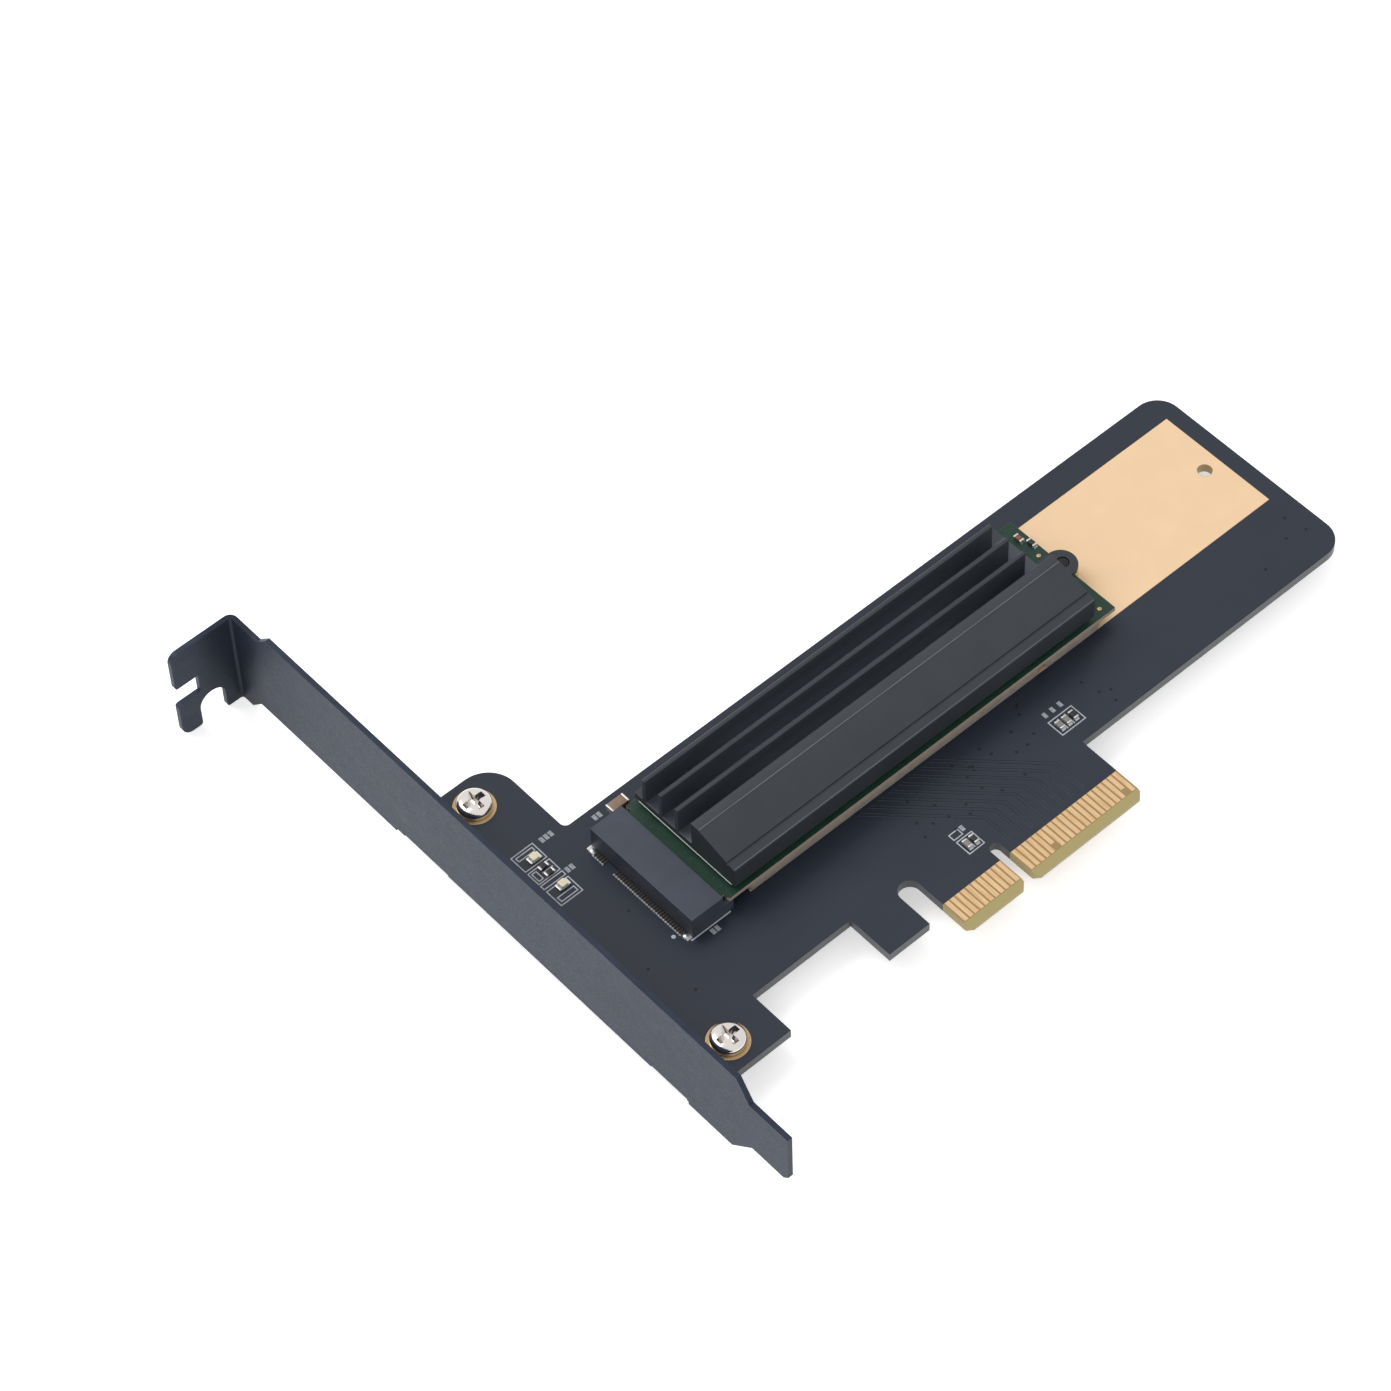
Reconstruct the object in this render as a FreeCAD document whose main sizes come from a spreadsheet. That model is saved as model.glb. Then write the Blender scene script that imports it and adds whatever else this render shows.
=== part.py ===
import FreeCAD, Part
import math
import os
import Sketcher
from FreeCAD import Placement, Rotation, Vector

# Solid-state drive adapter card
#
# A flat card that plugs into a four-lane expansion slot. It carries a drive module in an
# M.2 socket, between thermal pads and a finned heatsink, and a slot bracket at its left end.
# Frame: X runs along the card, away from the bracket, from the centre line of the edge
# connector's key notch. Y runs up the card, from the edge that goes into the slot.
# Z points out of the component side, from the board's surface. Sizes are in millimetres.

SHEET = "Sizes"

SIZES = {
    "Board": [
        ("board_length", 134.95),
        ("board_thickness", 1.6),
        ("board_bottom_edge", 12.5),
        ("board_top_edge", 51.9),
        ("board_beyond_last_hole", 5.9),
        ("board_corner_radius", 4.0),
        ("bracket_clearance", 0.45),
        ("wing_beyond_screw", 4.6),
        ("upper_wing_reach", 7.05),
        ("upper_wing_radius", 5.0),
        ("upper_wing_fillet", 1.0),
        ("lower_wing_reach", 7.55),
        ("cut_overrun", 1.0),
    ],
    "Edge connector": [
        ("tongue_corner", 0.8),
        ("tongue_bevel_height", 1.3),
        ("tongue_bevel_depth", 0.45),
        ("key_notch_width", 1.9),
        ("key_notch_depth", 8.4),
        ("hook_slot_width", 3.6),
        ("hook_slot_below_edge", 0.3),
        ("hook_width", 7.7),
        ("hook_lift", 4.5),
        ("finger_spacing", 1.0),
        ("finger_width", 0.7),
        ("finger_length", 4.15),
        ("finger_above_bevel", 0.1),
        ("finger_to_key", 0.2),
        ("finger_to_side", 0.3),
        ("short_finger_step", 1.2),
        ("plating_thickness", 0.05),
    ],
    "Bracket": [
        ("bracket_from_key", 59.26),
        ("bracket_length", 120.02),
        ("bracket_thickness", 0.86),
        ("bracket_width", 18.42),
        ("bracket_below_flange", 0.5),
        ("bracket_below_screw", 22.9),
        ("bend_radius", 0.5),
        ("neck_upper_length", 6.82),
        ("neck_lower_length", 3.22),
        ("neck_ramp", 2.4),
        ("neck_upper_offset", 2.4),
        ("neck_lower_offset", 2.64),
        ("edge_step", 0.6),
        ("edge_step_below_screw", 2.5),
        ("edge_step_above_screw", 6.2),
        ("tip_width", 10.45),
        ("tip_rise", 4.11),
        ("tip_upper_shoulder", 10.1),
        ("tip_upper_root", 7.6),
        ("tip_lower_shoulder", 11.5),
        ("tip_lower_root", 7.3),
        ("tip_corner", 1.0),
    ],
    "Bracket tab": [
        ("tab_depth", 11.08),
        ("tab_upper_radius", 1.6),
        ("tab_lower_radius", 1.9),
        ("tab_slot_from_low_edge", 7.3),
        ("tab_slot_width", 3.9),
        ("tab_slot_length", 4.1),
        ("screw_slot_from_face", 5.15),
        ("screw_slot_width", 4.6),
        ("screw_slot_depth", 5.9),
    ],
    "Bracket flanges and screws": [
        ("screw_from_face", 9.66),
        ("lower_screw_below_edge", 3.3),
        ("upper_screw_above_edge", 11.6),
        ("flange_beyond_screw", 3.2),
        ("flange_inner_radius", 0.1),
        ("lower_flange_start", 2.2),
        ("lower_flange_width", 7.5),
        ("upper_flange_start", 5.4),
        ("upper_flange_width", 9.7),
        ("screw_thread_radius", 1.5),
        ("screw_clearance", 0.2),
        ("screw_head_radius", 2.65),
        ("screw_head_height", 1.6),
        ("screw_head_edge", 0.5),
        ("screw_head_slope", 0.8),
        ("screw_beyond_flange", 1.49),
        ("recess_width", 0.8),
        ("recess_reach", 1.6),
        ("recess_depth", 1.0),
        ("ring_beyond_head", 0.75),
    ],
    "Drive module": [
        ("drive_below_edge", 15.77),
        ("drive_from_key", 38.9),
        ("drive_length", 80.0),
        ("drive_shoulder", 1.075),
        ("drive_thickness", 0.8),
        ("drive_lift", 2.35),
        ("drive_tongue_length", 4.0),
        ("drive_key_width", 1.2),
        ("contact_spacing", 0.5),
        ("contact_to_side", 0.675),
        ("drive_pad_width", 0.35),
        ("drive_pad_length", 2.2),
        ("chip_height", 0.7),
        ("controller_from_end", 8.0),
        ("controller_length", 12.0),
        ("controller_width", 14.0),
        ("chip_gap", 3.5),
        ("buffer_length", 7.5),
        ("buffer_width", 12.0),
        ("flash_length", 14.0),
        ("flash_width", 18.0),
        ("flash_gap", 4.0),
    ],
    "Socket": [
        ("socket_cavity", 1.4),
        ("socket_back_wall", 1.5),
        ("socket_side_wall", 0.8),
        ("socket_roof", 0.75),
        ("socket_front_clearance", 1.0),
        ("socket_lip_beyond_tongue", 0.9),
        ("socket_lip_rise", 0.1),
        ("mouth_side_clearance", 0.1),
        ("mouth_clearance", 0.3),
        ("key_clearance", 0.15),
        ("key_end_clearance", 0.5),
        ("contact_width", 0.22),
        ("contact_thickness", 0.12),
        ("contact_clearance", 0.08),
        ("contact_tail", 1.1),
        ("riser_clearance", 0.12),
        ("solder_tab_length", 0.9),
        ("solder_tab_thickness", 0.2),
    ],
    "Cooling": [
        ("plating_below_axis", 10.48),
        ("plating_above_axis", 11.07),
        ("plating_beyond_hole", 3.0),
        ("pad_from_drive_end", 8.4),
        ("pad_inset", 0.42),
        ("pad_gap", 1.6),
        ("end_pad_length", 10.8),
        ("end_pad_to_post", 0.3),
        ("upper_pad_inset", 0.55),
        ("upper_pad_thickness", 0.3),
        ("upper_pad_to_foot", 0.4),
        ("sink_from_socket", 2.4),
        ("sink_from_end", 4.0),
        ("sink_width", 21.3),
        ("sink_base", 1.2),
        ("sink_height", 6.05),
        ("sink_side_height", 3.85),
        ("sink_groove_width", 0.35),
        ("sink_groove_depth", 0.25),
        ("sink_groove_from_side", 1.3),
        ("sink_crest_width", 1.55),
        ("sink_edge_width", 1.72),
        ("fin_thickness", 0.76),
        ("fin_spacing", 3.47),
        ("fin_crest_radius", 0.25),
        ("fin_from_end", 2.6),
        ("foot_length", 1.1),
        ("tab_radius", 2.6),
        ("tab_centre_back", 0.38),
        ("tab_thickness", 0.57),
    ],
    "Posts": [
        ("post_reach_shortest", 30.0),
        ("post_reach_short", 42.0),
        ("post_reach_medium", 60.0),
        ("post_radius", 2.4),
        ("post_neck_radius", 1.6),
        ("post_neck_clearance", 0.15),
        ("post_thread_radius", 1.0),
        ("post_bore_clearance", 0.1),
        ("post_hole_clearance", 0.2),
        ("post_head_radius", 1.9),
        ("post_head_height", 1.2),
        ("post_head_edge", 0.35),
        ("post_head_slope", 0.56),
        ("post_recess_width", 0.5),
        ("post_recess_reach", 1.1),
        ("post_recess_depth", 0.7),
        ("post_screw_short", 0.15),
    ],
    "Small parts": [
        ("led_shift", 0.35),
        ("led_below_edge", 1.15),
        ("led_to_resistor", 2.0),
        ("resistor_spacing", 1.35),
        ("resistor_to_led", 2.9),
        ("led_length", 2.0),
        ("led_width", 1.25),
        ("led_base", 0.35),
        ("led_lens", 0.45),
        ("led_terminal", 0.4),
        ("resistor_length", 1.6),
        ("resistor_width", 0.8),
        ("resistor_height", 0.45),
        ("capacitor_length", 1.55),
        ("capacitor_width", 0.8),
        ("capacitor_height", 0.6),
        ("terminal_length", 0.3),
        ("terminal_proud", 0.02),
        ("large_capacitor_length", 3.2),
        ("large_capacitor_width", 1.6),
        ("large_capacitor_height", 0.8),
        ("large_capacitor_from_drive", 4.5),
        ("large_capacitor_below_edge", 2.2),
        ("capacitor_spacing", 1.3),
        ("connector_capacitor_from_key", 1.3),
        ("connector_capacitor_above_key", 2.25),
        ("supply_capacitor_spacing", 1.35),
        ("supply_capacitor_from_tongue", 2.25),
        ("supply_capacitor_above_edge", 4.25),
        ("outer_capacitor_from_end", 1.5),
        ("outer_capacitor_off_axis", 7.7),
        ("inner_capacitor_from_end", 0.7),
        ("inner_capacitor_off_axis", 5.8),
    ],
}

# Pins of the edge connector's first and second blocks, and the two short ones
FIRST_BLOCK = range(1, 12)
SECOND_BLOCK = range(12, 33)
SHORT_PINS = (17, 31)

# Pins of the drive's connector, on two sides, and the ones that its key takes
DRIVE_PINS = range(1, 76)
KEY_PINS = range(59, 67)
MIDDLE_PIN = (DRIVE_PINS[0] + DRIVE_PINS[-1]) / 2

FINS = 3
KEY_CAPACITORS = 2
SUPPLY_CAPACITORS = 3

document = FreeCAD.newDocument("adapter_card")
nodes = []


class Size:
    """A length that holds both its number and the sheet expression behind it."""

    def __init__(self, number, text):
        self.number = number
        self.text = text

    def __add__(self, other):
        other = as_size(other)
        return Size(self.number + other.number, f"({self.text} + {other.text})")

    def __sub__(self, other):
        other = as_size(other)
        return Size(self.number - other.number, f"({self.text} - {other.text})")

    def __mul__(self, other):
        other = as_size(other)
        return Size(self.number * other.number, f"({self.text} * {other.text})")

    def __truediv__(self, other):
        other = as_size(other)
        return Size(self.number / other.number, f"({self.text} / {other.text})")

    def __radd__(self, other):
        return as_size(other) + self

    def __rsub__(self, other):
        return as_size(other) - self

    def __rmul__(self, other):
        return as_size(other) * self

    def __neg__(self):
        return Size(-self.number, f"(-1 * {self.text})")


def as_size(value):
    """Returns a Size for a plain number, and a Size as it is."""
    if isinstance(value, Size):
        return value
    return Size(float(value), f"({value})")


def fill_sheet():
    """Writes every driving dimension to the sheet and returns them by name."""
    sheet = document.addObject("Spreadsheet::Sheet", SHEET)
    sizes = {}
    row = 1
    for group, entries in SIZES.items():
        sheet.set(f"A{row}", group)
        row += 1
        for name, number in entries:
            sheet.set(f"A{row}", name)
            sheet.set(f"B{row}", str(number))
            sheet.setAlias(f"B{row}", name)
            sizes[name] = Size(number, f"{SHEET}.{name}")
            row += 1
    document.recompute()
    return sizes


S = fill_sheet()
ZERO = as_size(0)

# Heights, from the solder side up
PLATED = S["plating_thickness"]
BOARD_UNDER = -S["board_thickness"]
FLANGE_UNDER = BOARD_UNDER - S["bracket_thickness"]
DRIVE_UNDER = S["drive_lift"]
DRIVE_TOP = DRIVE_UNDER + S["drive_thickness"]
CHIP_TOP = DRIVE_TOP + S["chip_height"]
SINK_UNDER = CHIP_TOP + S["upper_pad_thickness"]
MOUTH_FLOOR = DRIVE_UNDER - S["mouth_clearance"]
MOUTH_ROOF = DRIVE_TOP + S["mouth_clearance"]

# Bracket, board screws and the board's wings beside them
BRACKET_FACE = -S["bracket_from_key"]
BRACKET_INNER = BRACKET_FACE + S["bracket_thickness"]
BOARD_LEFT = BRACKET_INNER + S["bracket_clearance"]
BOARD_RIGHT = BOARD_LEFT + S["board_length"]
SCREW_X = BRACKET_FACE + S["screw_from_face"]
SCREW_LOW = S["board_bottom_edge"] - S["lower_screw_below_edge"]
SCREW_HIGH = S["board_top_edge"] + S["upper_screw_above_edge"]
SCREW_HOLE = S["screw_thread_radius"] + S["screw_clearance"]
BRACKET_END = SCREW_LOW - S["bracket_below_screw"]
BRACKET_TOP = BRACKET_END + S["bracket_length"]
BRACKET_LOW = FLANGE_UNDER - S["bracket_below_flange"]
BRACKET_HIGH = BRACKET_LOW + S["bracket_width"]
NECK_LOW = BRACKET_LOW - S["neck_lower_offset"]
NECK_HIGH = BRACKET_HIGH - S["neck_upper_offset"]

# Edge connector, from the key notch outwards
KEY_HALF = S["key_notch_width"] / 2
FIRST_FINGER = KEY_HALF + S["finger_to_key"] + S["finger_width"] / 2
FINGER_FOOT = S["tongue_bevel_height"] + S["finger_above_bevel"]
FINGER_EDGE = S["finger_width"] / 2 + S["finger_to_side"]
FIRST_ROW, SECOND_ROW = ((row[-1] - row[0]) * S["finger_spacing"] for row in (FIRST_BLOCK, SECOND_BLOCK))
TONGUE_LEFT = -(FIRST_FINGER + FIRST_ROW + FINGER_EDGE)
TONGUE_RIGHT = FIRST_FINGER + SECOND_ROW + FINGER_EDGE
HOOK_RIGHT = TONGUE_LEFT - S["hook_slot_width"]
HOOK_LEFT = HOOK_RIGHT - S["hook_width"]
HOOK_SLOT_TOP = S["board_bottom_edge"] - S["hook_slot_below_edge"]

# Drive module and its connector
DRIVE_START = -S["drive_from_key"]
DRIVE_END = DRIVE_START + S["drive_length"]
DRIVE_AXIS = S["board_top_edge"] - S["drive_below_edge"]
DRIVE_ROW = (DRIVE_PINS[-1] - DRIVE_PINS[0]) * S["contact_spacing"] / 2
DRIVE_TONGUE = DRIVE_ROW + 2 * S["contact_to_side"]
DRIVE_WIDTH = DRIVE_TONGUE + 2 * S["drive_shoulder"]
DRIVE_KEY = ((KEY_PINS[0] + KEY_PINS[-1]) / 2 - MIDDLE_PIN) * S["contact_spacing"] / 2
SOCKET_FRONT = DRIVE_START + S["drive_tongue_length"] - S["socket_front_clearance"]
LIP_FRONT = DRIVE_START + S["drive_tongue_length"] + S["socket_lip_beyond_tongue"]
MOUTH_BACK = DRIVE_START - S["socket_cavity"]
SOCKET_BACK = MOUTH_BACK - S["socket_back_wall"]
MOUTH_WIDTH = DRIVE_TONGUE + 2 * S["mouth_side_clearance"]
SOCKET_WIDTH = MOUTH_WIDTH + 2 * S["socket_side_wall"]
UPPER_RISER = MOUTH_BACK + S["riser_clearance"]
LOWER_RISER = DRIVE_START + S["drive_pad_length"]

# Posts and heatsink
POST_HOLE = S["post_thread_radius"] + S["post_hole_clearance"]
LAST_HOLE = BOARD_RIGHT - S["board_beyond_last_hole"]
POST_HOLES = [DRIVE_START + S[f"post_reach_{name}"] for name in ("shortest", "short", "medium")]
POST_HOLES += [DRIVE_END, LAST_HOLE]
SINK_START = SOCKET_FRONT + S["sink_from_socket"]
SINK_END = DRIVE_END - S["sink_from_end"]
SINK_LENGTH = SINK_END - SINK_START
PAD_START = DRIVE_START + S["pad_from_drive_end"]


def bind(thing, prop, size):
    """Ties one property of an object to the sheet."""
    thing.setExpression(prop, as_size(size).text)


def place(thing, x=0, y=0, z=0):
    """Ties an object's position to the sheet."""
    for axis, size in zip("xyz", (x, y, z)):
        bind(thing, f"Placement.Base.{axis}", size)


def keep(thing, label):
    """Names an object as a sub-part and lists it for export."""
    thing.Label = label
    nodes.append(thing)
    return thing


def new_body(name):
    """Returns an empty body."""
    return document.addObject("PartDesign::Body", name)


def base_plane(body, plane):
    """Returns one of a body's own three base planes, such as XY."""
    return next(f for f in body.Origin.OriginFeatures if f.Role == f"{plane}_Plane")


def sketch_on(body, plane, offset=0):
    """Adds an empty sketch to a body, parallel to a base plane and offset along its normal."""
    sketch = body.newObject("Sketcher::SketchObject", f"{body.Name}_sketch")
    sketch.AttachmentSupport = [(base_plane(body, plane), "")]
    sketch.MapMode = "FlatFace"
    bind(sketch, "AttachmentOffset.Base.z", offset)
    return sketch


def fix_point(sketch, geometry, end, across, up):
    """Dimensions one point of a sketch from its origin."""
    for kind, size in (("DistanceX", across), ("DistanceY", up)):
        size = as_size(size)
        index = sketch.addConstraint(Sketcher.Constraint(kind, -1, 1, geometry, end, size.number))
        sketch.setExpression(f"Constraints[{index}]", size.text)


def draw_outline(sketch, corners):
    """Draws a closed outline of straight lines through its corners, each dimensioned."""
    points = [Vector(as_size(a).number, as_size(b).number, 0) for a, b in corners]
    count = len(points)
    first = sketch.GeometryCount
    for i in range(count):
        sketch.addGeometry(Part.LineSegment(points[i], points[(i + 1) % count]), False)
    for i in range(count):
        following = first + (i + 1) % count
        sketch.addConstraint(Sketcher.Constraint("Coincident", first + i, 2, following, 1))
    for i, (across, up) in enumerate(corners):
        fix_point(sketch, first + i, 1, across, up)


def draw_box(sketch, low_x, low_y, high_x, high_y):
    """Draws a rectangle between two dimensioned corners."""
    draw_outline(sketch, [(low_x, low_y), (high_x, low_y), (high_x, high_y), (low_x, high_y)])


def draw_circle(sketch, across, up, radius):
    """Draws a circle with a dimensioned centre and radius."""
    centre = Vector(as_size(across).number, as_size(up).number, 0)
    radius = as_size(radius)
    circle = Part.Circle(centre, Vector(0, 0, 1), radius.number)
    geometry = sketch.addGeometry(circle, False)
    fix_point(sketch, geometry, 3, across, up)
    index = sketch.addConstraint(Sketcher.Constraint("Radius", geometry, radius.number))
    sketch.setExpression(f"Constraints[{index}]", radius.text)


def pad(body, sketch, length, reverse=False):
    """Raises a sketch along its normal, or against it."""
    feature = body.newObject("PartDesign::Pad", f"{body.Name}_pad")
    feature.Profile = sketch
    feature.Reversed = reverse
    bind(feature, "Length", length)
    sketch.Visibility = False
    return feature


def pocket(body, sketch, depth, reverse=False):
    """Cuts a sketch into the body against its normal, or along it, and checks that it cuts."""
    document.recompute()
    before = body.Shape.Volume
    feature = body.newObject("PartDesign::Pocket", f"{body.Name}_pocket")
    feature.Profile = sketch
    feature.Reversed = reverse
    bind(feature, "Length", depth)
    sketch.Visibility = False
    document.recompute()
    if body.Shape.Volume > before - 1e-6:
        raise RuntimeError(f"{feature.Name} cuts nothing")
    return feature


def turn(body, sketch):
    """Turns a section about its sketch's upright axis."""
    turned = body.newObject("PartDesign::Revolution", f"{body.Name}_turned")
    turned.Profile = sketch
    turned.ReferenceAxis = (sketch, ["V_Axis"])
    turned.Angle = 360
    sketch.Visibility = False
    return turned


def straight_edges(body, places, along="z"):
    """Names the edges that run along one axis through places given on the other two."""
    direction = Vector(*(axis == along for axis in "xyz"))
    across = [axis for axis in "xyz" if axis != along]
    wanted = [[as_size(size).number for size in spot] for spot in places]
    found = []
    for number, edge in enumerate(body.Shape.Edges, 1):
        if not isinstance(edge.Curve, Part.Line) or edge.Curve.Direction.cross(direction).Length > 1e-6:
            continue
        start = edge.Vertexes[0].Point
        spot = [getattr(start, axis) for axis in across]
        if any(math.dist(spot, place) < 1e-4 for place in wanted):
            found.append(f"Edge{number}")
    return found


def soften(body, kind, prop, places, size, along="z"):
    """Adds a fillet or a chamfer on the straight edges that pass through given places."""
    document.recompute()
    edges = straight_edges(body, places, along)
    if len(edges) < len(places):
        raise RuntimeError(f"{body.Name} lacks an edge to soften")
    tip = body.Tip
    feature = body.newObject(f"PartDesign::{kind}", f"{body.Name}_{kind.lower()}")
    feature.Base = (tip, edges)
    bind(feature, prop, size)
    document.recompute()
    return feature


def fillet(body, places, radius, along="z"):
    """Rounds straight edges, each named by the place that it passes through."""
    return soften(body, "Fillet", "Radius", places, radius, along)


def box(name, low, lengths):
    """Returns a block from its low corner and its lengths, tied to the sheet."""
    block = document.addObject("Part::Box", name)
    for prop, size in zip(("Length", "Width", "Height"), lengths):
        bind(block, prop, size)
    place(block, *low)
    return block


def group(label, members):
    """Keeps separate solids together as one sub-part."""
    compound = document.addObject("Part::Compound", label)
    compound.Links = members
    return keep(compound, label)


def fuse(name, members):
    """Joins touching solids into one."""
    joined = document.addObject("Part::MultiFuse", name)
    joined.Shapes = members
    joined.Refine = True
    return joined


def adapter_board():
    """The card itself: two screw wings, a keyed tongue, a hook, and holes for the posts."""
    body = new_body("adapter_board_body")
    upper_right = SCREW_X + S["upper_wing_reach"]
    upper_top = SCREW_HIGH + S["wing_beyond_screw"]
    lower_right = SCREW_X + S["lower_wing_reach"]
    lower_bottom = SCREW_LOW - S["wing_beyond_screw"]
    slot_radius = S["hook_slot_width"] / 2
    slot_centre = HOOK_SLOT_TOP - slot_radius
    outline = sketch_on(body, "XY")
    draw_outline(outline, [
        (BOARD_LEFT, lower_bottom),
        (lower_right, lower_bottom),
        (lower_right, S["board_bottom_edge"]),
        (HOOK_LEFT, S["board_bottom_edge"]),
        (HOOK_LEFT, S["hook_lift"]),
        (HOOK_RIGHT, S["hook_lift"]),
        (HOOK_RIGHT, slot_centre),
        (TONGUE_LEFT, slot_centre),
        (TONGUE_LEFT, 0),
        (TONGUE_RIGHT, 0),
        (TONGUE_RIGHT, S["board_bottom_edge"]),
        (BOARD_RIGHT, S["board_bottom_edge"]),
        (BOARD_RIGHT, S["board_top_edge"]),
        (upper_right, S["board_top_edge"]),
        (upper_right, upper_top),
        (BOARD_LEFT, upper_top),
    ])
    pad(body, outline, S["board_thickness"], reverse=True)

    notch = sketch_on(body, "XY")
    notch_end = S["key_notch_depth"] - KEY_HALF
    draw_box(notch, -KEY_HALF, -S["cut_overrun"], KEY_HALF, notch_end)
    pocket(body, notch, S["board_thickness"])

    rounds = sketch_on(body, "XY")
    draw_circle(rounds, TONGUE_LEFT - slot_radius, slot_centre, slot_radius)
    draw_circle(rounds, 0, notch_end, KEY_HALF)
    for y in (SCREW_LOW, SCREW_HIGH):
        draw_circle(rounds, SCREW_X, y, SCREW_HOLE)
    for x in POST_HOLES:
        draw_circle(rounds, x, DRIVE_AXIS, POST_HOLE)
    pocket(body, rounds, S["board_thickness"])

    far_corners = [(BOARD_RIGHT, S[name]) for name in ("board_bottom_edge", "board_top_edge")]
    fillet(body, far_corners, S["board_corner_radius"])
    fillet(body, [(upper_right, upper_top)], S["upper_wing_radius"])
    fillet(body, [(upper_right, S["board_top_edge"])], S["upper_wing_fillet"])
    tongue_corners = [(x, 0) for x in (TONGUE_LEFT, -KEY_HALF, KEY_HALF, TONGUE_RIGHT)]
    soften(body, "Chamfer", "Size", tongue_corners, S["tongue_corner"])

    # Lead-in bevel on both faces of the tongue's lower edge
    bevel = sketch_on(body, "YZ", TONGUE_LEFT - S["cut_overrun"])
    for surface, inward in ((ZERO, -S["tongue_bevel_depth"]), (BOARD_UNDER, S["tongue_bevel_depth"])):
        draw_outline(bevel, [(0, surface), (S["tongue_bevel_height"], surface), (0, surface + inward)])
    pocket(body, bevel, TONGUE_RIGHT - TONGUE_LEFT + 2 * S["cut_overrun"], reverse=True)
    keep(body, "adapter_board")


def edge_fingers(label, floor):
    """One side's row of gold contacts on the tongue."""
    fingers = []
    for pin in (*FIRST_BLOCK, *SECOND_BLOCK):
        if pin in FIRST_BLOCK:
            centre = -FIRST_FINGER - (FIRST_BLOCK[-1] - pin) * S["finger_spacing"]
        else:
            centre = FIRST_FINGER + (pin - SECOND_BLOCK[0]) * S["finger_spacing"]
        missing = S["short_finger_step"] if pin in SHORT_PINS else ZERO
        corner = (centre - S["finger_width"] / 2, FINGER_FOOT + missing, floor)
        lengths = (S["finger_width"], S["finger_length"] - missing, PLATED)
        fingers.append(box(f"{label}_{pin}", corner, lengths))
    group(label, fingers)


def cooling_plating():
    """The bare plated field that carries the drive's heat into the board."""
    body = new_body("cooling_plating_body")
    field = sketch_on(body, "XY")
    low = DRIVE_AXIS - S["plating_below_axis"]
    high = DRIVE_AXIS + S["plating_above_axis"]
    draw_box(field, PAD_START, low, LAST_HOLE + S["plating_beyond_hole"], high)
    for x in POST_HOLES:
        draw_circle(field, x, DRIVE_AXIS, POST_HOLE)
    pad(body, field, PLATED)
    keep(body, "cooling_plating")


def bracket_screw_rings():
    """Plated rings under the two bracket screws' heads."""
    rings = []
    for y in (SCREW_LOW, SCREW_HIGH):
        body = new_body("ring")
        ring = sketch_on(body, "XY")
        draw_circle(ring, 0, 0, S["screw_head_radius"] + S["ring_beyond_head"])
        draw_circle(ring, 0, 0, SCREW_HOLE)
        pad(body, ring, PLATED)
        place(body, SCREW_X, y)
        rings.append(body)
    group("bracket_screw_rings", rings)


def bracket_plate(body):
    """Adds the bracket's upright plate: offset neck, stepped lower edge and tapered tip."""
    tip_low = BRACKET_LOW + S["tip_rise"]
    tip_high = tip_low + S["tip_width"]
    neck_upper = BRACKET_TOP - S["neck_upper_length"]
    neck_lower = BRACKET_TOP - S["neck_lower_length"]
    step_start = SCREW_LOW - S["edge_step_below_screw"]
    step_end = SCREW_HIGH + S["edge_step_above_screw"]
    plate = sketch_on(body, "YZ", BRACKET_FACE)
    draw_outline(plate, [
        (BRACKET_TOP, NECK_LOW),
        (BRACKET_TOP, NECK_HIGH),
        (neck_upper, NECK_HIGH),
        (neck_upper - S["neck_ramp"], BRACKET_HIGH),
        (BRACKET_END + S["tip_upper_shoulder"], BRACKET_HIGH),
        (BRACKET_END + S["tip_upper_root"], tip_high),
        (BRACKET_END, tip_high),
        (BRACKET_END, tip_low + S["tip_corner"]),
        (BRACKET_END + S["tip_corner"], tip_low),
        (BRACKET_END + S["tip_lower_root"], tip_low),
        (BRACKET_END + S["tip_lower_shoulder"], BRACKET_LOW),
        (step_start, BRACKET_LOW),
        (step_start, BRACKET_LOW + S["edge_step"]),
        (step_end, BRACKET_LOW + S["edge_step"]),
        (step_end, BRACKET_LOW),
        (neck_lower - S["neck_ramp"], BRACKET_LOW),
        (neck_lower, NECK_LOW),
    ])
    pad(body, plate, S["bracket_thickness"])


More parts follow.
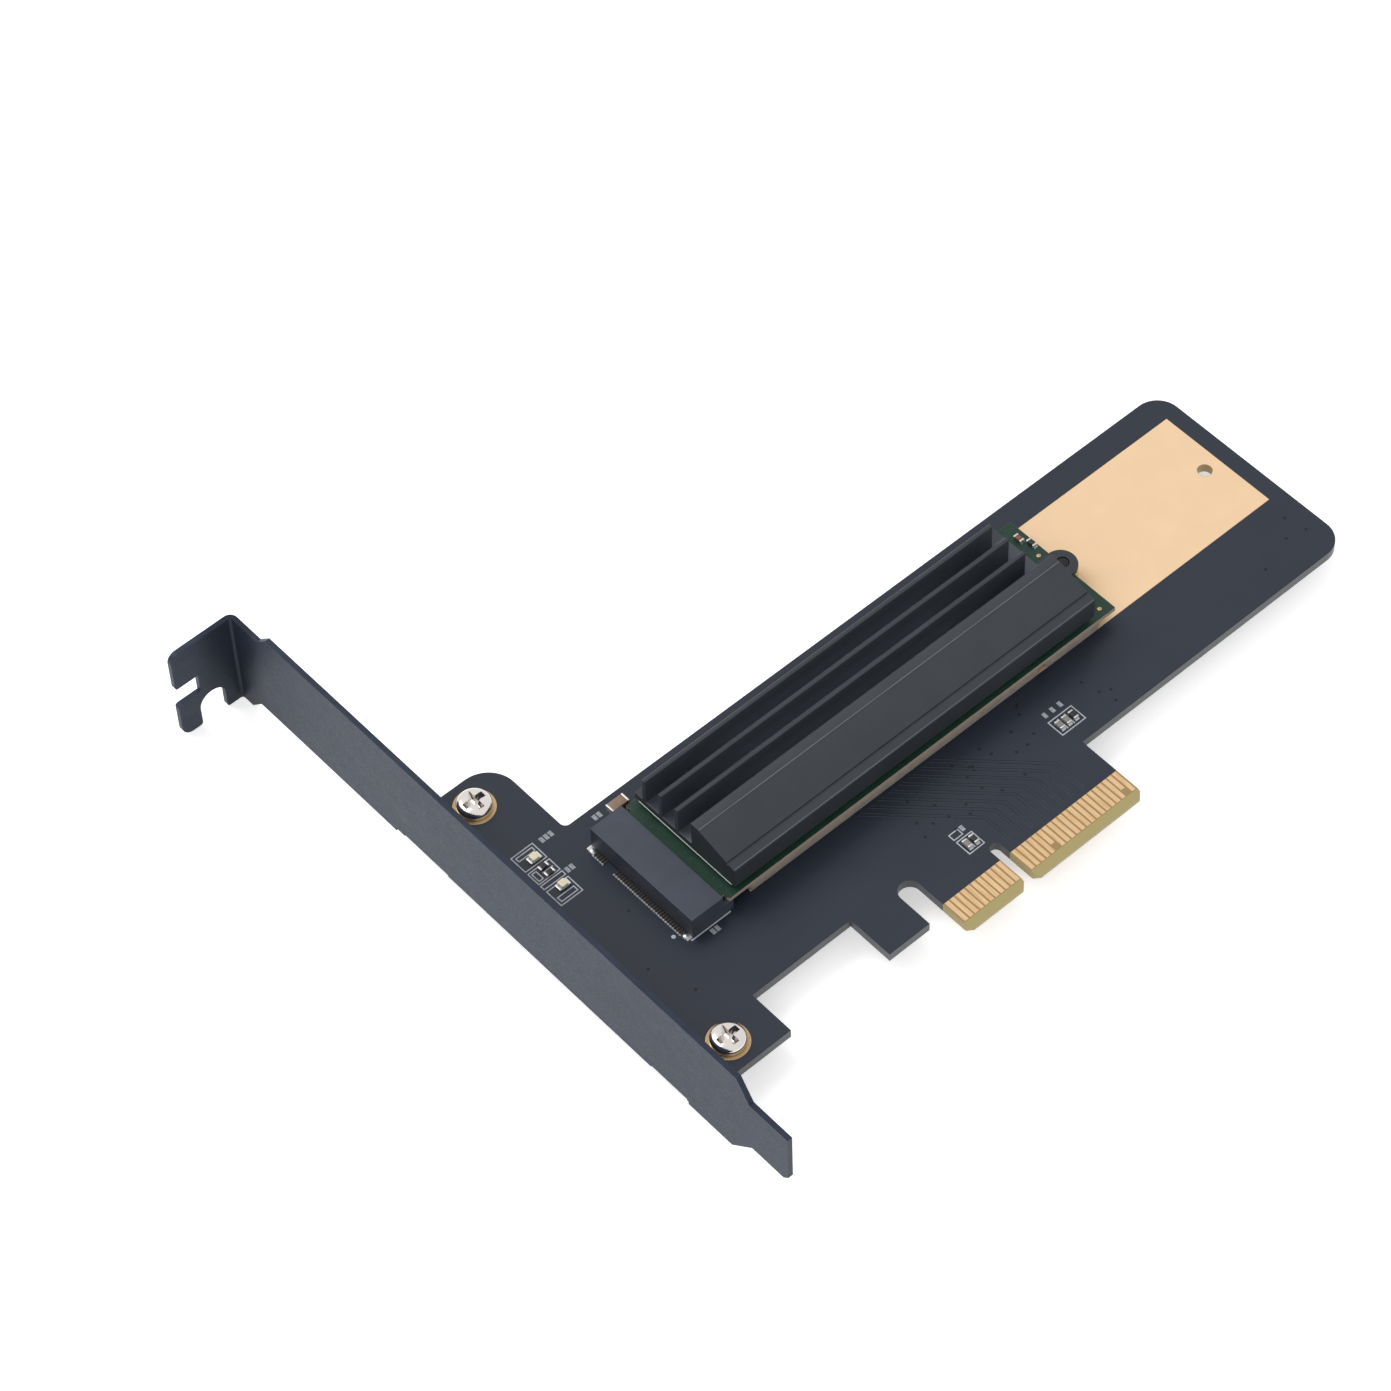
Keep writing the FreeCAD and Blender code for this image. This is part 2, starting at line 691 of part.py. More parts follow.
def bracket_tab(body):
    """Folds the tab away from the board at the top, and cuts its two slots."""
    tab_end = BRACKET_FACE - S["tab_depth"]
    tab = sketch_on(body, "XZ", -BRACKET_TOP)
    draw_box(tab, tab_end, NECK_LOW, BRACKET_INNER, NECK_HIGH)
    pad(body, tab, S["bracket_thickness"])
    fillet(body, [(BRACKET_FACE, BRACKET_TOP - S["bracket_thickness"])], S["bend_radius"])
    fillet(body, [(BRACKET_INNER, BRACKET_TOP)], S["bend_radius"] + S["bracket_thickness"])

    screw_x = BRACKET_FACE - S["screw_slot_from_face"]
    screw_half = S["screw_slot_width"] / 2
    screw_arc = NECK_LOW + S["screw_slot_depth"] - screw_half
    slot_low = NECK_LOW + S["tab_slot_from_low_edge"]
    slot_high = slot_low + S["tab_slot_width"]
    overrun = S["cut_overrun"]
    slots = sketch_on(body, "XZ", -BRACKET_TOP)
    draw_box(slots, tab_end - overrun, slot_low, tab_end + S["tab_slot_length"], slot_high)
    draw_box(slots, screw_x - screw_half, NECK_LOW - overrun, screw_x + screw_half, screw_arc)
    pocket(body, slots, S["bracket_thickness"], reverse=True)
    arc = sketch_on(body, "XZ", -BRACKET_TOP)
    draw_circle(arc, screw_x, screw_arc, screw_half)
    pocket(body, arc, S["bracket_thickness"], reverse=True)

    fillet(body, [(tab_end, NECK_HIGH)], S["tab_upper_radius"], "y")
    fillet(body, [(tab_end, NECK_LOW)], S["tab_lower_radius"], "y")
    slot_corners = [(tab_end, slot_low), (tab_end, slot_high)]
    slot_corners += [(screw_x - screw_half, NECK_LOW), (screw_x + screw_half, NECK_LOW)]
    fillet(body, slot_corners, S["bend_radius"], "y")


def draw_fold(sketch, fold_top):
    """Draws a flange's section: flat under the board, then round into the plate."""
    outer = fold_top - FLANGE_UNDER
    flange_end = SCREW_X + S["flange_beyond_screw"]
    points = [
        (BRACKET_FACE, fold_top),
        (BRACKET_FACE + outer, FLANGE_UNDER),
        (flange_end, FLANGE_UNDER),
        (flange_end, BOARD_UNDER),
        (BRACKET_INNER, BOARD_UNDER),
        (BRACKET_INNER, fold_top),
    ]
    spots = [Vector(x.number, z.number, 0) for x, z in points]
    centre = Vector((BRACKET_FACE + outer).number, fold_top.number, 0)
    circle = Part.Circle(centre, Vector(0, 0, 1), outer.number)
    sketch.addGeometry(Part.ArcOfCircle(circle, math.pi, 1.5 * math.pi), False)
    for start, end in zip(spots[1:], spots[2:] + spots[:1]):
        sketch.addGeometry(Part.LineSegment(start, end), False)
    for i in range(len(points)):
        sketch.addConstraint(Sketcher.Constraint("Coincident", i, 2, (i + 1) % len(points), 1))
    fix_point(sketch, 0, 3, BRACKET_FACE + outer, fold_top)
    for i, (x, z) in enumerate(points[1:], 1):
        fix_point(sketch, i, 1, x, z)
    sketch.addConstraint(Sketcher.Constraint("Horizontal", 0, 1, 0, 3))


def bracket_flange(body, screw_y, start, width):
    """Folds one flange under the board, where the plate's edge gives way to it, and bores it."""
    fold_top = FLANGE_UNDER + S["bend_radius"]
    relief = sketch_on(body, "YZ", BRACKET_FACE)
    draw_box(relief, start, BRACKET_LOW - S["cut_overrun"], start + width, fold_top)
    pocket(body, relief, S["bracket_thickness"], reverse=True)
    section = sketch_on(body, "XZ", -start)
    draw_fold(section, fold_top)
    pad(body, section, width, reverse=True)
    hole = sketch_on(body, "XY", FLANGE_UNDER)
    draw_circle(hole, SCREW_X, screw_y, S["screw_thread_radius"])
    pocket(body, hole, S["bracket_thickness"], reverse=True)


def bracket():
    """The folded steel slot bracket: plate, slotted tab and two flanges under the board."""
    body = new_body("bracket_body")
    bracket_plate(body)
    bracket_tab(body)
    bracket_flange(body, SCREW_LOW, SCREW_LOW - S["lower_flange_start"], S["lower_flange_width"])
    bracket_flange(body, SCREW_HIGH, SCREW_HIGH - S["upper_flange_start"], S["upper_flange_width"])
    fillet(body, [(BRACKET_INNER, BOARD_UNDER)], S["flange_inner_radius"], "y")
    keep(body, "bracket")


def pan_screw(name, prefix, thread_radius, length):
    """Returns a cross-recessed pan-head screw, head up, with the head's seat at the origin."""
    parts = ("radius", "height", "edge", "slope")
    radius, height, edge, slope = (S[f"{prefix}_head_{part}"] for part in parts)
    recess = "recess" if prefix == "screw" else f"{prefix}_recess"
    half = S[f"{recess}_width"] / 2
    reach = S[f"{recess}_reach"]
    body = new_body(name)
    section = sketch_on(body, "XZ")
    draw_outline(section, [
        (0, -length),
        (thread_radius, -length),
        (thread_radius, 0),
        (radius, 0),
        (radius, height - edge),
        (radius - slope, height),
        (0, height),
    ])
    turn(body, section)
    cross = sketch_on(body, "XY", height)
    draw_outline(cross, [
        (half, half), (half, reach), (-half, reach), (-half, half),
        (-reach, half), (-reach, -half), (-half, -half), (-half, -reach),
        (half, -reach), (half, -half), (reach, -half), (reach, half),
    ])
    pocket(body, cross, S[f"{recess}_depth"])
    return body


def bracket_screws():
    """The two screws that hold the board to the bracket's flanges."""
    length = PLATED - FLANGE_UNDER + S["screw_beyond_flange"]
    screws = []
    for y in (SCREW_LOW, SCREW_HIGH):
        screw = pan_screw("bracket_screw", "screw", S["screw_thread_radius"], length)
        place(screw, SCREW_X, y, PLATED)
        screws.append(screw)
    group("bracket_screws", screws)


def socket_housing():
    """The moulded body of the drive's socket, with its mouth towards the drive."""
    body = new_body("socket_housing_body")
    low = DRIVE_AXIS - SOCKET_WIDTH / 2
    lip_top = MOUTH_FLOOR + S["socket_lip_rise"]
    socket_top = MOUTH_ROOF + S["socket_roof"]
    section = sketch_on(body, "XZ", -low)
    draw_outline(section, [
        (SOCKET_BACK, 0),
        (LIP_FRONT, 0),
        (LIP_FRONT, lip_top),
        (SOCKET_FRONT, lip_top),
        (SOCKET_FRONT, socket_top),
        (SOCKET_BACK, socket_top),
    ])
    pad(body, section, SOCKET_WIDTH, reverse=True)

    mouth_low = DRIVE_AXIS - MOUTH_WIDTH / 2
    mouth_high = DRIVE_AXIS + MOUTH_WIDTH / 2
    overrun = S["cut_overrun"]
    mouth = sketch_on(body, "XZ", -mouth_low)
    draw_box(mouth, MOUTH_BACK, MOUTH_FLOOR, LIP_FRONT + overrun, MOUTH_ROOF)
    pocket(body, mouth, MOUTH_WIDTH)

    # Room under the housing for the contacts' tails, and slots for their risers
    under = sketch_on(body, "XY")
    draw_box(under, SOCKET_BACK - overrun, mouth_low, LIP_FRONT + overrun, mouth_high)
    pocket(body, under, S["contact_thickness"] + S["contact_clearance"], reverse=True)
    slots = sketch_on(body, "XY")
    for riser in (UPPER_RISER, LOWER_RISER):
        slot_end = riser + S["contact_thickness"] + S["riser_clearance"]
        draw_box(slots, riser - S["riser_clearance"], mouth_low, slot_end, mouth_high)
    pocket(body, slots, MOUTH_FLOOR, reverse=True)

    # Key wall that fills the drive's notch
    key_half = S["drive_key_width"] / 2 - S["key_clearance"]
    key_low = DRIVE_AXIS + DRIVE_KEY - key_half
    key = sketch_on(body, "XY", MOUTH_FLOOR)
    draw_box(key, MOUTH_BACK, key_low, SOCKET_FRONT, key_low + 2 * key_half)
    pad(body, key, MOUTH_ROOF - MOUTH_FLOOR)
    keep(body, "m2_socket_housing")


def drive_pin_line(pin):
    """Returns the line across the drive on which a pin of its connector lies."""
    return DRIVE_AXIS + (pin - MIDDLE_PIN) * S["contact_spacing"] / 2


def drive_pins(first):
    """Returns every other pin from a first one, without those that the key takes."""
    return [pin for pin in DRIVE_PINS[first - DRIVE_PINS[0]::2] if pin not in KEY_PINS]


def bent_contacts(label, pins, profile):
    """A row of bent spring contacts, each the same profile at its own pin."""
    section = Part.Face(Part.makePolygon([Vector(x.number, 0, z.number) for x, z in profile + profile[:1]]))
    contacts = []
    for pin in pins:
        contact = section.extrude(Vector(0, S["contact_width"].number, 0))
        contact.translate(Vector(0, (drive_pin_line(pin) - S["contact_width"] / 2).number, 0))
        contacts.append(contact)
    row = document.addObject("Part::Feature", label)
    row.Shape = Part.makeCompound(contacts)
    row.Placement = Placement(Vector(), Rotation())
    keep(row, label)


def socket_contacts():
    """Both rows of contacts: tails on the board, risers, and arms on the drive's pads."""
    leaf = S["contact_thickness"]
    tail_end = SOCKET_BACK - S["contact_tail"]
    arm = DRIVE_TOP + PLATED
    bent_contacts("m2_socket_upper_contacts", drive_pins(1), [
        (tail_end, ZERO),
        (UPPER_RISER + leaf, ZERO),
        (UPPER_RISER + leaf, arm),
        (DRIVE_START + S["drive_pad_length"], arm),
        (DRIVE_START + S["drive_pad_length"], arm + leaf),
        (UPPER_RISER, arm + leaf),
        (UPPER_RISER, leaf),
        (tail_end, leaf),
    ])
    tail_end = LIP_FRONT + S["contact_tail"]
    arm = DRIVE_UNDER - PLATED - leaf
    bent_contacts("m2_socket_lower_contacts", drive_pins(2), [
        (tail_end, ZERO),
        (LOWER_RISER, ZERO),
        (LOWER_RISER, arm),
        (DRIVE_START + leaf, arm),
        (DRIVE_START + leaf, arm + leaf),
        (LOWER_RISER + leaf, arm + leaf),
        (LOWER_RISER + leaf, leaf),
        (tail_end, leaf),
    ])


def socket_solder_tabs():
    """Two metal tabs that anchor the socket's rear corners to the board."""
    side = S["solder_tab_length"]
    tabs = []
    for i, low in enumerate((DRIVE_AXIS - SOCKET_WIDTH / 2, DRIVE_AXIS + SOCKET_WIDTH / 2 - side)):
        corner = (SOCKET_BACK - side, low, 0)
        tabs.append(box(f"solder_tab_{i}", corner, (side, side, S["solder_tab_thickness"])))
    group("m2_socket_solder_tabs", tabs)


def drive_board():
    """The drive's own board: narrow tongue with a key notch, and a half-round end notch."""
    body = new_body("drive_board_body")
    length = S["drive_length"]
    shoulder = S["drive_tongue_length"]
    half = DRIVE_WIDTH / 2
    tongue_half = DRIVE_TONGUE / 2
    outline = sketch_on(body, "XY")
    draw_outline(outline, [
        (0, -tongue_half),
        (shoulder, -tongue_half),
        (shoulder, -half),
        (length, -half),
        (length, half),
        (shoulder, half),
        (shoulder, tongue_half),
        (0, tongue_half),
    ])
    pad(body, outline, S["drive_thickness"])
    key_half = S["drive_key_width"] / 2
    key_end = SOCKET_FRONT - DRIVE_START + S["key_end_clearance"] - key_half
    cuts = sketch_on(body, "XY")
    draw_box(cuts, -S["cut_overrun"], DRIVE_KEY - key_half, key_end, DRIVE_KEY + key_half)
    draw_circle(cuts, length, 0, S["post_neck_radius"] + S["post_neck_clearance"])
    pocket(body, cuts, S["drive_thickness"], reverse=True)
    key = sketch_on(body, "XY")
    draw_circle(key, key_end, DRIVE_KEY, key_half)
    pocket(body, key, S["drive_thickness"], reverse=True)
    place(body, DRIVE_START, DRIVE_AXIS, DRIVE_UNDER)
    keep(body, "drive_board")


def drive_contacts(label, pins, floor):
    """One side's gold pads on the drive's tongue."""
    pads = []
    for pin in pins:
        corner = (DRIVE_START, drive_pin_line(pin) - S["drive_pad_width"] / 2, floor)
        lengths = (S["drive_pad_length"], S["drive_pad_width"], PLATED)
        pads.append(box(f"{label}_{pin}", corner, lengths))
    group(label, pads)


def drive_chip(name, start, kind):
    """Returns one package on the drive, centred on its axis."""
    width = S[f"{kind}_width"]
    corner = (start, DRIVE_AXIS - width / 2, DRIVE_TOP)
    return box(name, corner, (S[f"{kind}_length"], width, S["chip_height"]))


def drive_chips():
    """The packages on the drive: controller, buffer memory and two flash memories."""
    controller = DRIVE_START + S["controller_from_end"]
    buffer = controller + S["controller_length"] + S["chip_gap"]
    flash = buffer + S["buffer_length"] + S["chip_gap"]
    second_flash = flash + S["flash_length"] + S["flash_gap"]
    keep(drive_chip("controller", controller, "controller"), "drive_controller")
    keep(drive_chip("buffer", buffer, "buffer"), "drive_buffer_memory")
    group("drive_flash_memory", [
        drive_chip("flash_a", flash, "flash"),
        drive_chip("flash_b", second_flash, "flash"),
    ])


def lower_pads():
    """Two soft pads that fill the space between the plating and the drive."""
    low = DRIVE_AXIS - DRIVE_WIDTH / 2 + S["pad_inset"]
    width = DRIVE_WIDTH - 2 * S["pad_inset"]
    height = DRIVE_UNDER - PLATED
    last_end = DRIVE_END - S["post_radius"] - S["end_pad_to_post"]
    last_start = last_end - S["end_pad_length"]
    main_length = last_start - S["pad_gap"] - PAD_START
    keep(box("main_pad", (PAD_START, low, PLATED), (main_length, width, height)), "lower_pad_main")
    keep(box("end_pad", (last_start, low, PLATED), (last_end - last_start, width, height)), "lower_pad_end")


def upper_pad():
    """The thin soft pad between the drive's chips and the heatsink."""
    length = SINK_LENGTH - S["foot_length"] - S["upper_pad_to_foot"]
    width = S["sink_width"] - 2 * S["upper_pad_inset"]
    corner = (SINK_START, DRIVE_AXIS - width / 2, CHIP_TOP)
    keep(box("upper_pad", corner, (length, width, S["upper_pad_thickness"])), "upper_thermal_pad")


def heatsink():
    """The extruded heatsink: a sloping rib, three fins, and a stepped round tab for its screw."""
    body = new_body("heatsink_body")
    base = S["sink_base"]
    side = S["sink_side_height"]
    top = S["sink_height"]
    last_fin = S["sink_width"] - S["sink_edge_width"] - S["fin_thickness"] / 2
    first_fin = last_fin - (FINS - 1) * S["fin_spacing"]
    rib_end = first_fin + S["fin_thickness"] / 2 - S["fin_spacing"]
    crest = rib_end - S["sink_crest_width"]
    slope = (top - side) / crest
    groove = S["sink_groove_from_side"]
    groove_end = groove + S["sink_groove_width"]
    profile = [
        (0, 0),
        (0, side),
        (groove, side + slope * groove),
        (groove, side + slope * groove - S["sink_groove_depth"]),
        (groove_end, side + slope * groove_end - S["sink_groove_depth"]),
        (groove_end, side + slope * groove_end),
        (crest, top),
        (rib_end, top),
        (rib_end, base),
    ]
    fin_edges = []
    for fin in range(FINS):
        left = first_fin + fin * S["fin_spacing"] - S["fin_thickness"] / 2
        right = left + S["fin_thickness"]
        profile += [(left, base), (left, top), (right, top), (right, base)]
        fin_edges += [(left, top), (right, top)]
    profile += [(S["sink_width"], base), (S["sink_width"], 0)]
    section = sketch_on(body, "YZ")
    draw_outline(section, profile)
    pad(body, section, SINK_LENGTH)
    fillet(body, fin_edges, S["fin_crest_radius"], "x")

    # The fins stop before the end that carries the tab
    clear = sketch_on(body, "XY", base)
    beside_rib = (rib_end + first_fin) / 2
    draw_box(clear, SINK_LENGTH - S["fin_from_end"], beside_rib, SINK_LENGTH, S["sink_width"])
    pocket(body, clear, top, reverse=True)

    # Foot that steps down to the drive beyond the pad, and the round tab on it
    drop = SINK_UNDER - DRIVE_TOP
    middle = S["sink_width"] / 2
    radius = S["tab_radius"]
    hole_x = DRIVE_END - SINK_START
    centre_x = hole_x - S["tab_centre_back"]
    foot_start = SINK_LENGTH - S["foot_length"]
    foot = sketch_on(body, "XY", -drop)
    draw_box(foot, foot_start, middle - radius, SINK_LENGTH, middle + radius)
    pad(body, foot, drop)
    neck = sketch_on(body, "XY", -drop)
    draw_box(neck, foot_start, middle - radius, centre_x, middle + radius)
    pad(body, neck, S["tab_thickness"])
    nose = sketch_on(body, "XY", -drop)
    draw_circle(nose, centre_x, middle, radius)
    pad(body, nose, S["tab_thickness"])
    hole = sketch_on(body, "XY", -drop)
    draw_circle(hole, hole_x, middle, S["post_thread_radius"])
    pocket(body, hole, S["tab_thickness"], reverse=True)
    place(body, SINK_START, DRIVE_AXIS - middle, SINK_UNDER)
    keep(body, "heatsink")


def standoff():
    """The turned post that holds the drive's end off the board, with a neck through its notch."""
    body = new_body("standoff_body")
    bore = S["post_thread_radius"] + S["post_bore_clearance"]
    section = sketch_on(body, "XZ")
    draw_outline(section, [
        (bore, PLATED),
        (S["post_radius"], PLATED),
        (S["post_radius"], DRIVE_UNDER),
        (S["post_neck_radius"], DRIVE_UNDER),
        (S["post_neck_radius"], DRIVE_TOP),
        (bore, DRIVE_TOP),
    ])
    turn(body, section)
    place(body, DRIVE_END, DRIVE_AXIS)
    keep(body, "standoff")


def heatsink_screw():
    """The screw from the underside, through board and post, into the heatsink's tab."""
    length = DRIVE_TOP + S["tab_thickness"] - BOARD_UNDER - S["post_screw_short"]
    screw = pan_screw("post_screw", "post", S["post_thread_radius"], length)
    screw.Placement = Placement(Vector(), Rotation(Vector(1, 0, 0), 180))
    place(screw, DRIVE_END, DRIVE_AXIS, BOARD_UNDER)
    keep(screw, "heatsink_screw")


def chip_part(name, centre, kind, along="x", floor=ZERO):
    """Returns a small ceramic part: a body between two terminals that stand a hair proud."""
    length, width, height = (S[f"{kind}_{side}"] for side in ("length", "width", "height"))
    cap = S["terminal_length"]
    proud = S["terminal_proud"]
    pieces = []
    for piece, start, reach, extra in (
        ("body", cap, length - 2 * cap, ZERO),
        ("end_a", ZERO, cap, proud),
        ("end_b", length - cap, cap, proud),
    ):
        offset = [start - length / 2, -width / 2 - extra]
        extent = [reach, width + 2 * extra]
        if along == "y":
            offset.reverse()
            extent.reverse()
        corner = (centre[0] + offset[0], centre[1] + offset[1], floor)
        pieces.append(box(f"{name}_{piece}", corner, (*extent, height + extra)))
    return fuse(name, pieces)


def keep_row(label, places, kind, along="x", floor=ZERO):
    """Keeps several small ceramic parts of one kind as one sub-part."""
    group(label, [chip_part(f"{label}_{i}", spot, kind, along, floor) for i, spot in enumerate(places)])


def board_capacitors():
    """Capacitors beside the socket, over the key notch and beside the tongue."""
    x = DRIVE_START + S["large_capacitor_from_drive"]
    y = S["board_top_edge"] - S["large_capacitor_below_edge"]
    keep(chip_part("large_capacitor", (x, y), "large_capacitor"), "socket_capacitor")

    start = -S["connector_capacitor_from_key"]
    y = S["key_notch_depth"] + S["connector_capacitor_above_key"]
    places = [(start - i * S["capacitor_spacing"], y) for i in range(KEY_CAPACITORS)]
    keep_row("connector_capacitors", places, "capacitor", "y")

    start = TONGUE_RIGHT + S["supply_capacitor_from_tongue"]
    y = S["board_bottom_edge"] + S["supply_capacitor_above_edge"]
    places = [(start - i * S["supply_capacitor_spacing"], y) for i in range(SUPPLY_CAPACITORS)]
    keep_row("supply_capacitors", places, "capacitor", "y")


def drive_end_capacitors():
    """Two capacitors at the drive's far end, beyond the heatsink."""
    places = []
    for which in ("outer", "inner"):
        x = DRIVE_END - S[f"{which}_capacitor_from_end"]
        places.append((x, DRIVE_AXIS + S[f"{which}_capacitor_off_axis"]))
    keep_row("drive_end_capacitors", places, "capacitor", "y", DRIVE_TOP)


def status_lamps():
    """Two surface-mounted lamps, each with its resistor, between the socket and the bracket."""
    x = SCREW_X + S["led_shift"]
    first_led = S["board_top_edge"] - S["led_below_edge"]
    first_resistor = first_led - S["led_to_resistor"]
    second_resistor = first_resistor - S["resistor_spacing"]
    second_led = second_resistor - S["resistor_to_led"]
    lamps = []
    for i, line in enumerate((first_led, second_led)):
        low_x = x - S["led_length"] / 2
        low_y = line - S["led_width"] / 2
        base = box(f"led_base_{i}", (low_x, low_y, 0), (S["led_length"], S["led_width"], S["led_base"]))
        lens = box(f"led_lens_{i}", (low_x + S["led_terminal"], low_y, S["led_base"]),
                   (S["led_length"] - 2 * S["led_terminal"], S["led_width"], S["led_lens"]))
        lamps.append(fuse(f"led_{i}", [base, lens]))
    group("status_leds", lamps)
    keep_row("led_resistors", [(x, first_resistor), (x, second_resistor)], "resistor")


adapter_board()
edge_fingers("edge_fingers_component", ZERO)
edge_fingers("edge_fingers_solder", BOARD_UNDER - PLATED)
cooling_plating()
bracket_screw_rings()
bracket()
bracket_screws()
socket_housing()
socket_contacts()
socket_solder_tabs()
drive_board()
drive_contacts("drive_upper_contacts", drive_pins(1), DRIVE_TOP)
drive_contacts("drive_lower_contacts", drive_pins(2), DRIVE_UNDER - PLATED)
drive_chips()
drive_end_capacitors()
lower_pads()
upper_pad()
heatsink()
standoff()
heatsink_screw()
board_capacitors()
status_lamps()
document.recompute()

for thing in document.Objects:
    if {"Invalid", "Error"} & set(thing.State):
        raise RuntimeError(f"{thing.Label} is not up to date: {thing.State}")
for node in nodes:
    if node.Shape.isNull() or not node.Shape.isValid():
        raise RuntimeError(f"{node.Label} has no valid shape")

os.makedirs("parts", exist_ok=True)
for node in nodes:
    node.Shape.exportStep(f"parts/{node.Label}.step")
    print(f"{node.Label}: {len(node.Shape.Solids)} solid(s), {node.Shape.Volume:.1f} mm3")
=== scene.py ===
"""Finish and light the drive adapter card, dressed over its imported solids.

The card lies in the frame of its solids: X along the card away from the bracket, Y up the
card out of the slot, Z out of the component side. Lengths in the classes below are in
millimetres, and every mesh is made in metres. The studio's lengths are in metres.
"""

import logging
import math
import random
from dataclasses import dataclass, replace
from enum import Enum
from typing import Iterable, Sequence

import bmesh
import bpy
from mathutils import Matrix, Vector


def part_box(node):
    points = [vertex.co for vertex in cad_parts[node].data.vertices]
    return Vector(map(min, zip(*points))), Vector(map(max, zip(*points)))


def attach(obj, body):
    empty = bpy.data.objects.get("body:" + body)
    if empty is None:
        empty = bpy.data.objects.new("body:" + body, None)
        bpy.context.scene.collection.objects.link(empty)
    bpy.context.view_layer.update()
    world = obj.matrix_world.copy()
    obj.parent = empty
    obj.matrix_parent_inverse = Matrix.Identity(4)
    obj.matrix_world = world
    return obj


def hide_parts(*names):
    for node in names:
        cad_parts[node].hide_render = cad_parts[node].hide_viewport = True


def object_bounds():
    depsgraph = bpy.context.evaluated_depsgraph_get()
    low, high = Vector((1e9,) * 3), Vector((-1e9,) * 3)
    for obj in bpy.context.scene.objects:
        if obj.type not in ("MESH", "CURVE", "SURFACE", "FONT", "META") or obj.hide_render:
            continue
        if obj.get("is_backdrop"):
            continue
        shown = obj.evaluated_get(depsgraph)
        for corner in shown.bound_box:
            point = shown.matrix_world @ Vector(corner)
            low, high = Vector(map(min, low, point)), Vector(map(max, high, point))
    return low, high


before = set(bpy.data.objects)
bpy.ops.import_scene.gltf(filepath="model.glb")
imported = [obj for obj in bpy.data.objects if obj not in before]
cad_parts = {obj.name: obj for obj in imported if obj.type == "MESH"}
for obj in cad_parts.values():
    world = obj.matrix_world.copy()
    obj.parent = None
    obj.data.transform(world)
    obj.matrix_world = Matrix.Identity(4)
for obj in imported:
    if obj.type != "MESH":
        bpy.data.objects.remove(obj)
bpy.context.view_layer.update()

MM = 0.001
LOG = logging.getLogger("adapter_card")

Point = tuple[float, float, float]
Spot = tuple[float, float]
Rgb = tuple[int, int, int]
Socket = bpy.types.NodeSocket
Shape = bmesh.types.BMesh

ROUGHNESS_DRIFT = 0.12
COAT_ROUGHNESS = 0.25
GRAIN_STRENGTH = 0.6
MOST_OF_NOISE = (0.3, 0.7)
DRAWN_ALONG_X = (0.01, 1, 1)
BRUSHED_ALONG_Y = (1, 0.03, 1)

SHARP_FROM = math.radians(40)
BREAK_EDGES_FROM = math.radians(30)
FLAT_WITHIN = math.radians(1)
SAME_POINT_WITHIN = 0.002 * MM


def solid_box(node: str) -> tuple[Vector, Vector]:
    """Return a solid's lowest and highest corner in millimetres."""
    return tuple(Vector(corner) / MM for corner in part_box(node))


DRIVE_LOW, DRIVE_HIGH = solid_box("drive_board")
DRIVE_AXIS = (DRIVE_LOW.y + DRIVE_HIGH.y) / 2
BRACKET_SCREWS = ((-49.6, 9.2), (-49.6, 63.5))
BOARD_UNDER = -1.6
RING_TOP = 0.05
PIN_STEP = 0.5


class Grain(Enum):
    """How a finish's surface is broken up."""

    MOULDED = "moulded"
    DRAWN = "drawn"
    BRUSHED = "brushed"
    SOFT = "soft"
    CAST = "cast"


def linear(colour: Rgb, share: float = 1.0) -> tuple[float, float, float, float]:
    """Turn a written colour into the shader's own scale.

    Args:
        colour: Red, green and blue from 0 to 255, as they look on a screen.
        share: Factor on the result, for a darker or a lighter shade.

    Returns:
        Linear red, green and blue with a full alpha.
    """
    parts = [c / 255 for c in colour]
    plain = [p / 12.92 if p <= 0.04045 else ((p + 0.055) / 1.055) ** 2.4 for p in parts]
    red, green, blue = (min(1.0, p * share) for p in plain)
    return red, green, blue, 1.0


def stand(name: str, data: bpy.types.ID) -> bpy.types.Object:
    """Put a new object in the scene.

    Args:
        name: Its name.
        data: Its mesh, curve, lamp or camera.

    Returns:
        The object, at the origin.
    """
    made = bpy.data.objects.new(name, data)
    bpy.context.scene.collection.objects.link(made)
    return made


